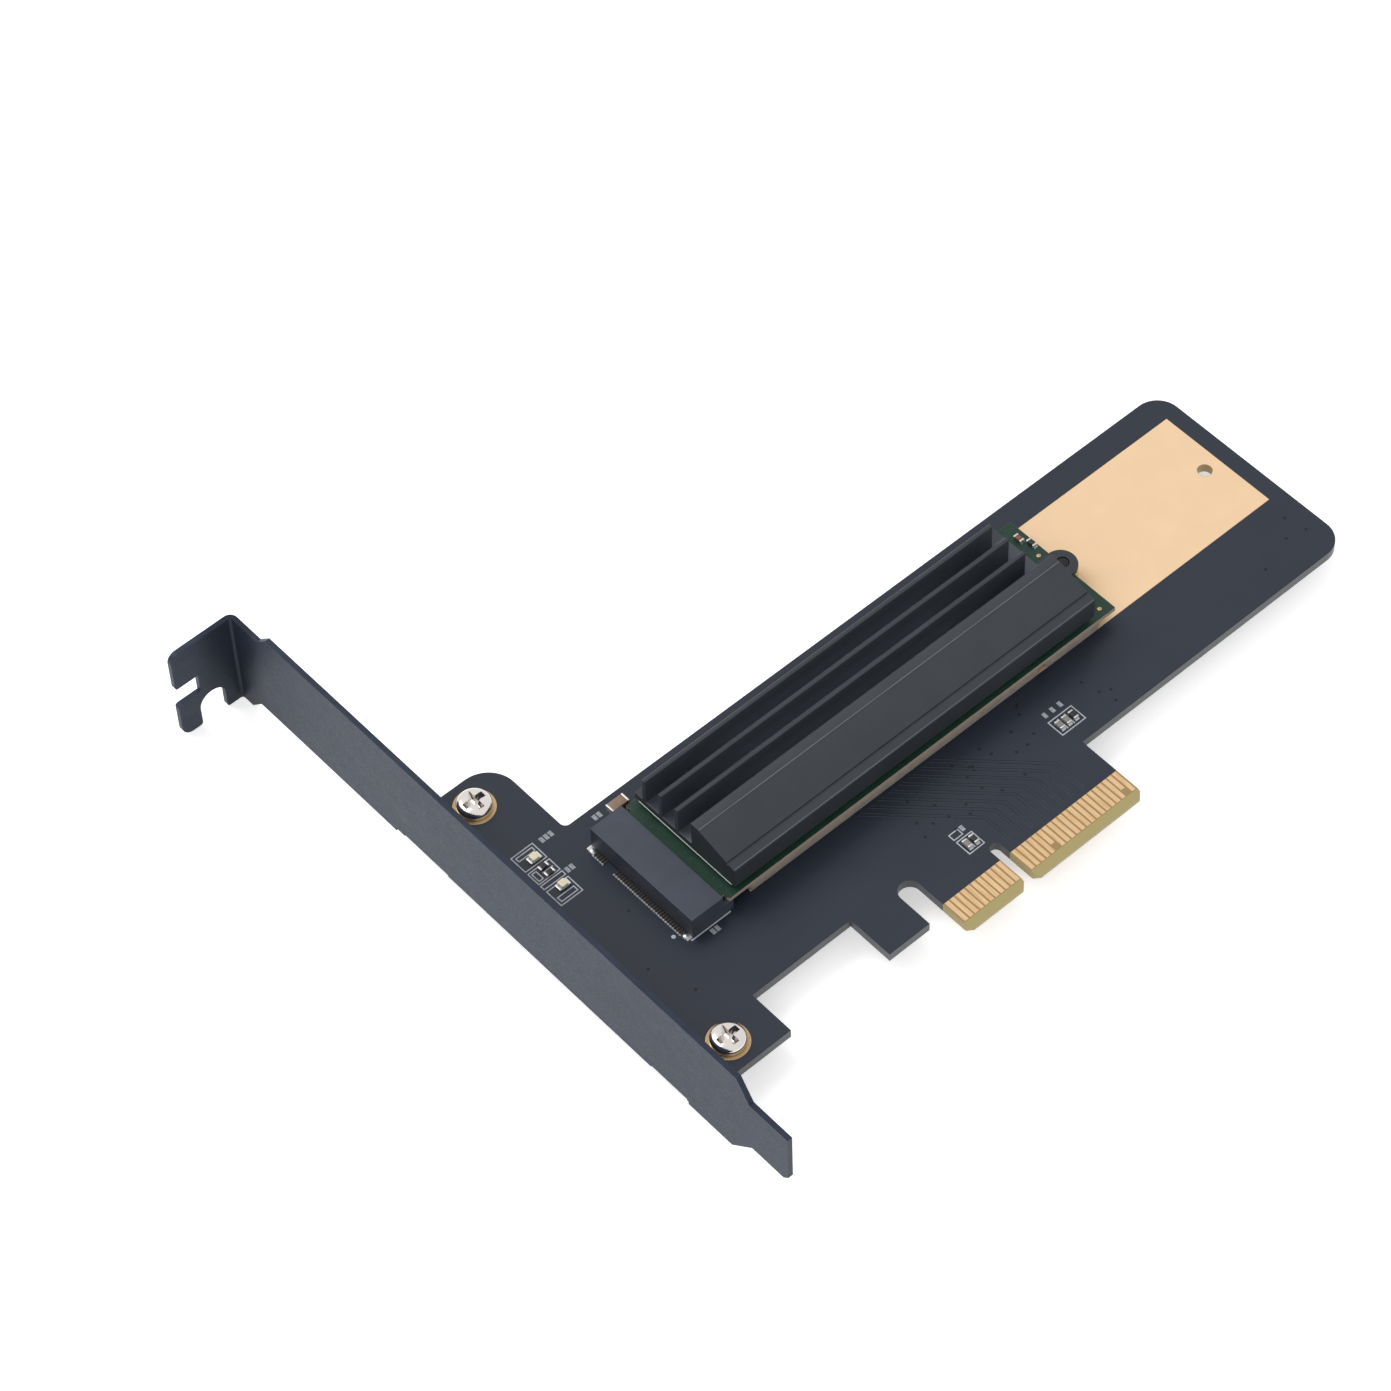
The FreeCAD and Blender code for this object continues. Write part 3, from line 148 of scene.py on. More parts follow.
class Graph:
    """A node tree, with short calls that add nodes and fill them."""

    def __init__(self, tree: bpy.types.NodeTree) -> None:
        """Take the tree that nodes are added to."""
        self.tree = tree

    def fill(self, node: bpy.types.Node, inputs: dict[str | int, object]) -> bpy.types.Node:
        """Fill a node's sockets with numbers or links.

        Args:
            node: The node to fill.
            inputs: Numbers or other nodes' outputs, by a socket's name or its place.

        Returns:
            The same node.
        """
        for key, value in inputs.items():
            named = (s for s in node.inputs if s.name == key and s.enabled)
            target = node.inputs[key] if isinstance(key, int) else next(named)
            if isinstance(value, bpy.types.NodeSocket):
                self.tree.links.new(value, target)
            else:
                target.default_value = value
        return node

    def add(self, kind: str, inputs: dict[str | int, object], **settings: object) -> bpy.types.Node:
        """Add a node and fill it.

        Args:
            kind: Its type name.
            inputs: Numbers or links, as fill takes them.
            settings: The node's own options.

        Returns:
            The new node.
        """
        node = self.tree.nodes.new(kind)
        for name, value in settings.items():
            setattr(node, name, value)
        return self.fill(node, inputs)

    def sums(self, operation: str, *values: object) -> Socket:
        """Return numbers or links combined by a Math node's operation."""
        return self.add("ShaderNodeMath", dict(enumerate(values)), operation=operation).outputs["Value"]

    def span(self, value: Socket, low: float, high: float, out: Spot = (0, 1)) -> Socket:
        """Spread part of a value's range over another range.

        Args:
            value: The value to spread.
            low: Start of the part.
            high: End of the part.
            out: What the start and the end become.

        Returns:
            The spread value.
        """
        inputs = {"Value": value, "From Min": low, "From Max": high, "To Min": out[0], "To Max": out[1]}
        return self.add("ShaderNodeMapRange", inputs).outputs["Result"]

    def seen_by(self, *rays: str) -> Socket:
        """Tell some kinds of ray from the rest.

        Args:
            rays: Names of the kinds, as Light Path has them.

        Returns:
            A value that is 1 for these rays and 0 for the rest.
        """
        light = self.add("ShaderNodeLightPath", {})
        seen = light.outputs[rays[0]]
        for ray in rays[1:]:
            seen = self.sums("MAXIMUM", seen, light.outputs[ray])
        return seen


class Nodes(Graph):
    """A material's tree, with short calls for the nodes that the finishes share."""

    def __init__(self, name: str) -> None:
        """Start a material with one shader.

        Args:
            name: Name of the material.
        """
        self.material = bpy.data.materials.new(name)
        self.material.use_nodes = True
        super().__init__(self.material.node_tree)
        self.shader = self.tree.nodes["Principled BSDF"]
        coords = self.add("ShaderNodeTexCoord", {})
        self.position, self.normal = coords.outputs["Object"], coords.outputs["Normal"]

    def part(self, axis: str, source: Socket | None = None) -> Socket:
        """Return one axis of the position, or of another vector."""
        vector = self.position if source is None else source
        return self.add("ShaderNodeSeparateXYZ", {"Vector": vector}).outputs[axis]

    def past(self, axis: str, place: float) -> Socket:
        """Return 1 past a place in millimetres on an axis, and 0 before it."""
        return self.sums("GREATER_THAN", self.part(axis), place * MM)

    def before(self, axis: str, place: float) -> Socket:
        """Return 1 before a place in millimetres on an axis, and 0 past it."""
        return self.sums("LESS_THAN", self.part(axis), place * MM)

    def away(self, axis: str, place: float) -> Socket:
        """Return the distance from a place in millimetres on an axis."""
        return self.sums("ABSOLUTE", self.sums("SUBTRACT", self.part(axis), place * MM))

    def times(self, *shares: Socket) -> Socket:
        """Multiply shares, so that all of them have to hold.

        Args:
            shares: Values from 0 to 1.

        Returns:
            Their product.
        """
        product = shares[0]
        for share in shares[1:]:
            product = self.sums("MULTIPLY", product, share)
        return product

    def noise(self, size: float, detail: float = 3.0, stretch: Point = (1, 1, 1)) -> Socket:
        """Make a cloudy pattern.

        Args:
            size: Size of one cloud in millimetres.
            detail: Octaves of finer noise.
            stretch: Factor on each axis, below 1 to draw the clouds out.

        Returns:
            The pattern, from 0 to 1.
        """
        mapping = self.add("ShaderNodeMapping", {"Vector": self.position, "Scale": stretch})
        inputs = {"Vector": mapping.outputs["Vector"], "Scale": 1 / (size * MM), "Detail": detail}
        return self.add("ShaderNodeTexNoise", inputs).outputs["Fac"]

    def cells(self, size: float) -> Socket:
        """Return the distance to the nearest of many points, a size in millimetres apart."""
        inputs = {"Vector": self.position, "Scale": 1 / (size * MM)}
        return self.add("ShaderNodeTexVoronoi", inputs).outputs["Distance"]

    def blend(self, share: Socket, first: object, second: object) -> Socket:
        """Return a mix of two colours or links, by the share of the second."""
        node = self.add("ShaderNodeMix", {"Factor": share, "A": first, "B": second}, data_type="RGBA")
        return next(s for s in node.outputs if s.enabled)


@dataclass(frozen=True)
class Finish:
    """One surface finish, and how to make its material."""

    name: str
    slot: str
    colour: Rgb
    roughness: float
    metallic: float = 0.0
    specular: float = 0.35
    coat: float = 0.0
    mottle: float = 0.08
    mottle_size: float = 6.0
    grain: Grain = Grain.MOULDED
    grain_size: float = 0.12
    grain_depth: float = 0.006

    def colouring(self, nodes: Nodes) -> Socket:
        """Make the colour pattern, a slow drift between a darker and a lighter shade.

        Args:
            nodes: The material's tree.

        Returns:
            The colour.
        """
        drift = nodes.span(nodes.noise(self.mottle_size), *MOST_OF_NOISE)
        return nodes.blend(drift, linear(self.colour, 1 - self.mottle), linear(self.colour, 1 + self.mottle))

    def relief(self, nodes: Nodes) -> Socket:
        """Make the height pattern of the grain.

        Args:
            nodes: The material's tree.

        Returns:
            The height, from about 0 to 1.
        """
        if self.grain is Grain.DRAWN:
            return nodes.noise(self.grain_size, 4, DRAWN_ALONG_X)
        if self.grain is Grain.BRUSHED:
            return nodes.noise(self.grain_size, 4, BRUSHED_ALONG_Y)
        if self.grain is Grain.SOFT:
            return nodes.sums("ADD", nodes.noise(self.grain_size * 5), nodes.cells(self.grain_size * 2))
        if self.grain is Grain.CAST:
            return nodes.noise(self.grain_size * 6, 5)
        return nodes.noise(self.grain_size, 2)

    def material(self) -> bpy.types.Material:
        """Make this finish's material, or find it when it was made before.

        Returns:
            The material.
        """
        made = bpy.data.materials.get(self.name)
        if made:
            return made
        nodes = Nodes(self.name)
        relief = self.relief(nodes)
        spread = (self.roughness * (1 - ROUGHNESS_DRIFT), min(1.0, self.roughness * (1 + ROUGHNESS_DRIFT)))
        bump = nodes.add("ShaderNodeBump", {"Height": relief, "Distance": self.grain_depth * MM,
                                            "Strength": GRAIN_STRENGTH})
        nodes.fill(nodes.shader, {
            "Base Color": self.colouring(nodes),
            "Roughness": nodes.span(relief, *MOST_OF_NOISE, spread),
            "Metallic": self.metallic,
            "Specular IOR Level": self.specular,
            "Coat Weight": self.coat,
            "Coat Roughness": COAT_ROUGHNESS,
            "Normal": bump.outputs["Normal"],
        })
        nodes.material.diffuse_color = linear(self.colour)
        return nodes.material


@dataclass(frozen=True)
class MaskedBoard(Finish):
    """Solder mask over glass laminate: sawn laminate sides, and bare laminate at the fingers."""

    laminate: Rgb = (86, 88, 90)
    laminate_shades: Spot = (0.7, 1.1)
    weave_size: float = 0.25
    weave_stretch: Point = (0.3, 0.3, 4)
    side_below: float = 0.2
    bare: Rgb = (160, 132, 88)
    bevelled: Rgb = (172, 158, 108)
    bare_height: float = 5.6
    bare_from: float = -12.4
    bevel_height: float = 1.3

    def colouring(self, nodes: Nodes) -> Socket:
        """Make the mask's colour on the faces and the laminate's on the sides and the tongue.

        Args:
            nodes: The material's tree.

        Returns:
            The colour.
        """
        weave = nodes.noise(self.weave_size, 2, self.weave_stretch)
        sawn = nodes.blend(weave, *(linear(self.laminate, share) for share in self.laminate_shades))
        facing = nodes.sums("ABSOLUTE", nodes.part("Z", nodes.normal))
        side = nodes.sums("LESS_THAN", facing, self.side_below)
        along = nodes.past("X", self.bare_from)
        bare = nodes.times(along, nodes.before("Y", self.bare_height))
        bevel = nodes.times(along, nodes.before("Y", self.bevel_height))
        face = nodes.blend(bare, Finish.colouring(self, nodes), linear(self.bare))
        face = nodes.blend(bevel, face, linear(self.bevelled))
        return nodes.blend(side, face, nodes.blend(bare, sawn, linear(self.bevelled)))


@dataclass(frozen=True)
class WornGold(Finish):
    """Gold over copper, rubbed along the way that it slides."""

    wear_and_highlight: Rgb = (206, 164, 112)
    streak_size: float = 0.18
    streak_stretch: Point = (1, 0.06, 1)
    streak_range: Spot = (0.45, 0.7)

    def colouring(self, nodes: Nodes) -> Socket:
        """Make gold with faint rub marks drawn along Y.

        Args:
            nodes: The material's tree.

        Returns:
            The colour.
        """
        streaks = nodes.span(nodes.noise(self.streak_size, 3, self.streak_stretch), *self.streak_range)
        return nodes.blend(streaks, Finish.colouring(self, nodes), linear(self.wear_and_highlight))


@dataclass(frozen=True)
class CoatedSteel(Finish):
    """Thin dark plating on sheet steel, with a faint crystal pattern under it."""

    spangle: Rgb = (56, 64, 80)
    spangle_size: float = 2.6
    spangle_range: Spot = (0.1, 0.9)
    spangle_share: float = 0.35
    # Painted shade: the plating is darkened towards the fold line, for the shade in the bend.
    fold_shade_colour: Rgb = (22, 30, 44)
    fold_shade_strength: float = 0.85
    fold_line: Spot = (-59.3, 105.5)
    fold_near: float = 3.9
    fold_far: float = 7.0

    def colouring(self, nodes: Nodes) -> Socket:
        """Make the plating's colour, with lighter crystals, and painted shade near the fold line.

        Args:
            nodes: The material's tree.

        Returns:
            The colour.
        """
        crystals = nodes.span(nodes.cells(self.spangle_size), *self.spangle_range, (0.0, self.spangle_share))
        plated = nodes.blend(crystals, Finish.colouring(self, nodes), linear(self.spangle))
        # Painted shade, deepest at the fold line and gone by fold_far.
        away = nodes.sums("ADD", *(nodes.away(axis, place) for axis, place in zip("XY", self.fold_line)))
        fold_shade = nodes.span(away, self.fold_near * MM, self.fold_far * MM, (self.fold_shade_strength, 0.0))
        return nodes.blend(fold_shade, plated, linear(self.fold_shade_colour))


@dataclass(frozen=True)
class FinnedBlack(Finish):
    """Black anodising, with painted light on the walls and the bed between the fins."""

    fins_from: float = 34.75
    fins_to: float = 44.5
    # Painted light: the walls and the bed between the fins are lighter than the anodising, where the
    # channels sit in shade.
    wall: Rgb = (70, 75, 83)
    wall_top: float = 9.75
    wall_fade: float = 0.3
    bed_painted_light: Rgb = (124, 130, 140)
    bed_under: float = 5.2
    bed_top: float = 8.6
    bed_middle: float = 0.5
    bed_reach: float = 34.0

    def colouring(self, nodes: Nodes) -> Socket:
        """Make the anodising's colour, with walls painted lighter and a bed painted lighter still between
        the fins.

        Args:
            nodes: The material's tree.

        Returns:
            The colour.
        """
        height = nodes.part("Z")
        painted_light_walls = nodes.span(height, self.wall_top * MM, (self.wall_top + self.wall_fade) * MM, (1.0, 0.0))
        inside = nodes.span(nodes.away("X", self.bed_middle), self.bed_reach / 2 * MM, self.bed_reach * MM,
                            (1.0, 0.0))
        low = nodes.times(inside, nodes.span(height, self.bed_under * MM, self.bed_top * MM, (1.0, 0.0)))
        # Painted light in the channels: lighter walls, and a bed lighter still.
        channel_painted_light = nodes.blend(low, linear(self.wall), linear(self.bed_painted_light))
        painted_light_walls = nodes.times(painted_light_walls, nodes.past("Y", self.fins_from), nodes.before("Y", self.fins_to),
                            nodes.past("Z", self.bed_under))
        return nodes.blend(painted_light_walls, Finish.colouring(self, nodes), channel_painted_light)


MASK = MaskedBoard("solder_mask", "solder_mask_black", (36, 42, 55), 0.4, specular=0.32, mottle=0.07,
                   mottle_size=9, grain_size=0.3, grain_depth=0.004)
RAISED_MASK = Finish("mask_over_copper", "solder_mask_black", (33, 39, 51), 0.38, specular=0.33,
                     grain_size=0.3, grain_depth=0.004)
VIA_MASK = replace(RAISED_MASK, name="mask_over_vias", colour=(26, 30, 37), roughness=0.5, specular=0.2)
GOLD_FIELD = Finish("gold_field", "gold_plating", (234, 202, 164), 0.5, metallic=0.4, mottle=0.02,
                    mottle_size=5, grain=Grain.CAST, grain_size=0.08, grain_depth=0.003)
FINGER_GOLD = WornGold("finger_gold", "gold_plating", (224, 190, 146), 0.38, metallic=0.4, mottle=0.04,
                       grain=Grain.BRUSHED, grain_size=0.06, grain_depth=0.003)
RING_GOLD = Finish("ring_gold", "gold_plating", (180, 154, 114), 0.3, metallic=0.85, grain=Grain.CAST,
                   grain_size=0.06)
STEEL = CoatedSteel("coated_steel", "bracket_steel", (40, 47, 61), 0.48, metallic=0.25, specular=0.22,
                    mottle=0.06, mottle_size=22, grain=Grain.CAST, grain_size=0.05, grain_depth=0.004)
NICKEL = Finish("nickel", "screw_nickel", (222, 216, 212), 0.14, metallic=1.0, mottle=0.04,
                grain=Grain.CAST, grain_size=0.1, grain_depth=0.008)
SOLDER = Finish("solder", "tinned_metal", (196, 198, 202), 0.3, metallic=0.9, mottle=0.1, mottle_size=0.5,
                grain=Grain.CAST, grain_size=0.03, grain_depth=0.01)
TIN = Finish("tinned_terminal", "tinned_metal", (206, 204, 200), 0.34, metallic=0.85, mottle=0.06,
             mottle_size=0.4, grain_size=0.05, grain_depth=0.004)
SOCKET_BLACK = Finish("socket_moulding", "socket_plastic", (62, 67, 79), 0.52, specular=0.36, mottle=0.1,
                      mottle_size=4, grain_size=0.09, grain_depth=0.008)
# Painted shade: the contacts' gold is darkened to the shade they sit in beside the housing.
SHADED_CONTACT_GOLD = Finish("contact_gold_painted_shade", "contact_gold", (84, 76, 64), 0.38, metallic=0.7,
                     grain=Grain.BRUSHED, grain_size=0.05, grain_depth=0.003)
DRIVE_MASK = MaskedBoard("drive_mask", "drive_mask_green", (27, 57, 46), 0.42, specular=0.3, mottle=0.16,
                         mottle_size=1.2, grain_size=0.25, grain_depth=0.005, laminate=(178, 162, 148),
                         bare_from=900)
RAISED_GREEN = Finish("drive_copper", "drive_mask_green", (34, 66, 50), 0.42, specular=0.3, mottle=0.1,
                      mottle_size=0.8, grain_size=0.25, grain_depth=0.004)
RESIN = Finish("chip_resin", "chip_resin", (52, 53, 56), 0.6, mottle_size=2, grain_size=0.07,
               grain_depth=0.008)
PAD_GREY = Finish("pad_grey", "thermal_pad_grey", (154, 145, 134), 0.8, specular=0.2, mottle=0.12,
                  mottle_size=1.4, grain=Grain.SOFT, grain_size=0.1, grain_depth=0.03)
PAD_LIGHT = Finish("pad_light", "thermal_pad_light", (212, 211, 206), 0.75, specular=0.2, mottle=0.07,
                   mottle_size=1.6, grain=Grain.SOFT, grain_size=0.08, grain_depth=0.02)
ANODISED = FinnedBlack("anodised", "anodised_black", (55, 59, 64), 0.42, metallic=0.3, specular=0.36,
                       mottle=0.1, mottle_size=9, grain=Grain.DRAWN, grain_size=0.09, grain_depth=0.012)
# Painted highlight: a lighter colour for the strips along the rib's edges.
EDGE_HIGHLIGHT = Finish("painted_edge_highlight", "anodised_black", (94, 98, 104), 0.36, metallic=0.5, specular=0.4,
                     mottle=0.12, mottle_size=5, grain=Grain.DRAWN, grain_size=0.07)
BRASS = Finish("turned_brass", "standoff_brass", (206, 176, 116), 0.28, metallic=1.0, grain=Grain.CAST,
               grain_size=0.05, grain_depth=0.004)
BLACK_ZINC = Finish("black_zinc", "screw_black", (46, 46, 48), 0.32, metallic=0.7, grain=Grain.CAST,
                    grain_size=0.06)
TAN = Finish("tan_ceramic", "ceramic_tan", (142, 118, 98), 0.45, mottle=0.12, mottle_size=0.5,
             grain_size=0.06)
REDDISH = replace(TAN, name="reddish_ceramic", colour=(126, 84, 66))
GREY_CERAMIC = replace(TAN, name="grey_ceramic", colour=(132, 130, 126))
DARK_GLAZE = Finish("dark_glaze", "ceramic_black", (44, 44, 48), 0.35, mottle=0.1, mottle_size=0.4,
                    grain_size=0.05, grain_depth=0.004)
LENS = Finish("lamp_lens", "led_lens", (240, 232, 196), 0.2, specular=0.6, coat=0.5, mottle=0.06,
              mottle_size=0.7, grain_size=0.1, grain_depth=0.003)
LAMP_BASE = Finish("lamp_base", "led_lens", (212, 214, 212), 0.5, mottle=0.05, mottle_size=0.6,
                   grain_size=0.06, grain_depth=0.004)
INK = Finish("white_ink", "solder_mask_black", (186, 190, 198), 0.65, specular=0.2, mottle=0.1,
             mottle_size=0.4, grain_size=0.08)
FAINT_INK = replace(INK, name="faint_ink", colour=(156, 161, 169), mottle=0.3, mottle_size=0.3)


class Piece:
    """Calls that turn shapes into finished pieces of the card."""

    @staticmethod
    def add(name: str, mesh: bpy.types.Mesh, finish: Finish) -> bpy.types.Object:
        """Put a mesh in the scene with one finish.

        Args:
            name: Name of the new object.
            mesh: Its mesh, in metres and in place.
            finish: Its finish.

        Returns:
            The new object.
        """
        mesh.materials.clear()
        mesh.materials.append(finish.material())
        return stand(name, mesh)

    @staticmethod
    def shaped(name: str, shape: Shape, finish: Finish, smooth: bool = True) -> bpy.types.Object:
        """Put a shape in the scene with one finish.

        Args:
            name: Name of the new object.
            shape: The shape under edit, which is freed.
            finish: Its finish.
            smooth: True to shade across its flatter edges.

        Returns:
            The new object.
        """
        mesh = Shapes.mesh(name, shape)
        if smooth:
            mesh.shade_smooth()
            mesh.set_sharp_from_angle(angle=SHARP_FROM)
        return Piece.add(name, mesh, finish)

    @staticmethod
    def plain(made: bpy.types.Object) -> bpy.types.Mesh:
        """Return what an object's modifiers make of it, as plain mesh."""
        graph = bpy.context.evaluated_depsgraph_get()
        return bpy.data.meshes.new_from_object(made.evaluated_get(graph))

    @staticmethod
    def seat(made: bpy.types.Object, finish: Finish, *stands_for: str) -> None:
        """Fix a piece to the card and say what it stands for.

        Args:
            made: The piece.
            finish: Not used.
            stands_for: Names of the solids that it replaces.
        """
        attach(made, "root")
        if stands_for:
            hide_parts(*stands_for)
        LOG.info("%s: %d faces, %s", made.name, len(made.data.polygons), ", ".join(stands_for) or "added")

    @staticmethod
    def dress(finish: Finish, *nodes: str) -> None:
        """Give solids of the frame their finish.

        Args:
            finish: The finish.
            nodes: Names of the solids.
        """
        for node in nodes:
            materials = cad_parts[node].data.materials
            materials.clear()
            materials.append(finish.material())
            LOG.info("%s: dressed in %s", node, finish.name)

    @staticmethod
    def soften(node: str, finish: Finish, radius: float, steps: int = 2) -> None:
        """Copy a solid's mesh, break its sharp edges and let the copy stand for it.

        Args:
            node: Name of the solid.
            finish: Its finish.
            radius: Radius of the broken edges in millimetres.
            steps: Faces across each broken edge.
        """
        shape = bmesh.new()
        shape.from_mesh(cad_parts[node].data)
        bmesh.ops.remove_doubles(shape, verts=shape.verts, dist=SAME_POINT_WITHIN)
        bmesh.ops.dissolve_limit(shape, angle_limit=FLAT_WITHIN, verts=shape.verts, edges=shape.edges)
        made = Piece.shaped(f"{node}_softened", shape, finish)
        bevel = made.modifiers.new("edges", "BEVEL")
        bevel.width = radius * MM
        bevel.segments = steps
        bevel.limit_method = "ANGLE"
        bevel.angle_limit = BREAK_EDGES_FROM
        bevel.use_clamp_overlap = True
        bevel.harden_normals = True
        mesh = Piece.plain(made)
        made.modifiers.clear()
        made.data = mesh
        Piece.seat(made, finish, node)


class Tree(Graph):
    """A Geometry Nodes tree with named inputs, which ends in plain mesh of one finish."""

    def __init__(self, name: str, **kinds: str) -> None:
        """Start a tree with a geometry input and output.

        Args:
            name: Name of the tree.
            kinds: Kind of each named input, such as Float, Int, Vector or Object.
        """
        super().__init__(bpy.data.node_groups.new(name, "GeometryNodeTree"))
        face = self.tree.interface
        self.names: dict[str, str] = {}
        for asked, kind in {"Geometry": "Geometry", **kinds, "Finish": "Material"}.items():
            made = face.new_socket(asked, in_out="INPUT", socket_type=f"NodeSocket{kind}")
            self.names[asked] = made.identifier
        face.new_socket("Geometry", in_out="OUTPUT", socket_type="NodeSocketGeometry")
        self.asked = self.add("NodeGroupInput", {}).outputs

    def copies(self, points: Socket) -> Socket:
        """Return copies of the tree's Pattern, one on each point."""
        shape = self.add("GeometryNodeObjectInfo", {"Object": self.asked["Pattern"]}).outputs["Geometry"]
        return self.add("GeometryNodeInstanceOnPoints", {"Points": points, "Instance": shape}).outputs[0]

    def close(self, geometry: Socket) -> None:
        """End the tree in real, finished geometry.

        Args:
            geometry: What the tree has made.
        """
        real = self.add("GeometryNodeRealizeInstances", {"Geometry": geometry}).outputs[0]
        dressed = self.add("GeometryNodeSetMaterial", {"Geometry": real, "Material": self.asked["Finish"]})
        self.add("NodeGroupOutput", {"Geometry": dressed.outputs[0]})

    def make(self, name: str, start: bpy.types.ID, finish: Finish, stands_for: Sequence[str] = (),
             **values: object) -> None:
        """Run the tree and seat the plain result on the card.

        Args:
            name: Name of the new piece.
            start: The mesh or curve that goes in.
            finish: Its finish.
            stands_for: Names of the solids that it replaces.
            values: The tree's named inputs.
        """
        carrier = stand(f"{name}_start", start)
        modifier = carrier.modifiers.new(self.tree.name, "NODES")
        modifier.node_group = self.tree
        for asked, value in {**values, "Finish": finish.material()}.items():
            modifier[self.names[asked]] = value
        made = Piece.add(name, Piece.plain(carrier), finish)
        bpy.data.objects.remove(carrier)
        Piece.seat(made, finish, *stands_for)


class Repeats:
    """The trees that repeat small shapes: along a line, and at given places."""

    def __init__(self) -> None:
        """Build both trees."""
        self.row = Tree("row_of_copies", Pattern="Object", Count="Int", Start="Vector", Step="Vector")
        asked = self.row.asked
        inputs = {"Count": asked["Count"], "Start Location": asked["Start"], "Offset": asked["Step"]}
        self.row.close(self.row.copies(self.row.add("GeometryNodeMeshLine", inputs).outputs[0]))
        self.places = Tree("copies_at_places", Pattern="Object")
        self.places.close(self.places.copies(self.places.asked["Geometry"]))

    def along(self, name: str, shape: Shape, count: int, start: Point, step: Point, finish: Finish,
              smooth: bool = True) -> None:
        """Seat copies of a shape along a straight line.

        Args:
            name: Name of the new piece.
            shape: The shape to repeat, made about the origin, which is freed.
            count: How many copies.
            start: Place of the first, in millimetres.
            step: From one to the next, in millimetres.
            finish: Finish of the copies.
            smooth: True to shade across the shape's flatter edges.
        """
        pattern = Piece.shaped(f"{name}_pattern", shape, finish, smooth)
        self.row.make(name, bpy.data.meshes.new(f"{name}_start"), finish, Pattern=pattern, Count=count,
                      Start=tuple(Vector(start) * MM), Step=tuple(Vector(step) * MM))
        bpy.data.objects.remove(pattern)

    def at(self, name: str, shape: Shape, spots: Iterable[Spot], finish: Finish, *stands_for: str,
           z: float = 0.0, smooth: bool = True) -> None:
        """Seat copies of a shape at given places.

        Args:
            name: Name of the new piece.
            shape: The shape to repeat, made about the origin, which is freed.
            spots: X and Y places in millimetres.
            finish: Finish of the copies.
            stands_for: Names of the solids that they replace.
            z: Height of the places.
            smooth: True to shade across the shape's flatter edges.
        """
        pattern = Piece.shaped(f"{name}_pattern", shape, finish, smooth)
        start = bpy.data.meshes.new(f"{name}_start")
        start.from_pydata([Vector((x, y, z)) * MM for x, y in spots], [], [])
        self.places.make(name, start, finish, stands_for, Pattern=pattern)
        bpy.data.objects.remove(pattern)


class Ribbons:
    """The tree that lays flat strips of one width along drawn lines."""

    def __init__(self) -> None:
        """Build the tree."""
        self.tree = Tree("flat_ribbons", Width="Float", Height="Float")
        sizes = {side: self.tree.asked[side] for side in ("Width", "Height")}
        section = self.tree.add("GeometryNodeCurvePrimitiveQuadrilateral", sizes)
        self.tree.close(self.tree.add("GeometryNodeCurveToMesh", {
            "Curve": self.tree.asked["Geometry"], "Profile Curve": section.outputs[0], "Fill Caps": True,
        }).outputs[0])

    def lay(self, name: str, lines: Iterable[Sequence[Spot]], z: float, width: float, height: float,
            finish: Finish, loops: Iterable[Sequence[Spot]] = ()) -> None:
        """Seat strips along lines on the card.

        Args:
            name: Name of the new piece.
            lines: Lines of X and Y places, in millimetres.
            z: Height of the strips' middle.
            width: Width of the strips.
            height: Height of the strips.
            finish: Finish of the strips.
            loops: More lines, which close on their start.
        """
        curve = bpy.data.curves.new(name, "CURVE")
        curve.dimensions = "3D"
        for line, closed in [(line, False) for line in lines] + [(loop, True) for loop in loops]:
            spline = curve.splines.new("POLY")
            spline.use_cyclic_u = closed
            spline.points.add(len(line) - 1)
            for point, (x, y) in zip(spline.points, line):
                point.co = (x * MM, y * MM, z * MM, 1)
        self.tree.make(name, curve, finish, Width=width * MM, Height=height * MM)


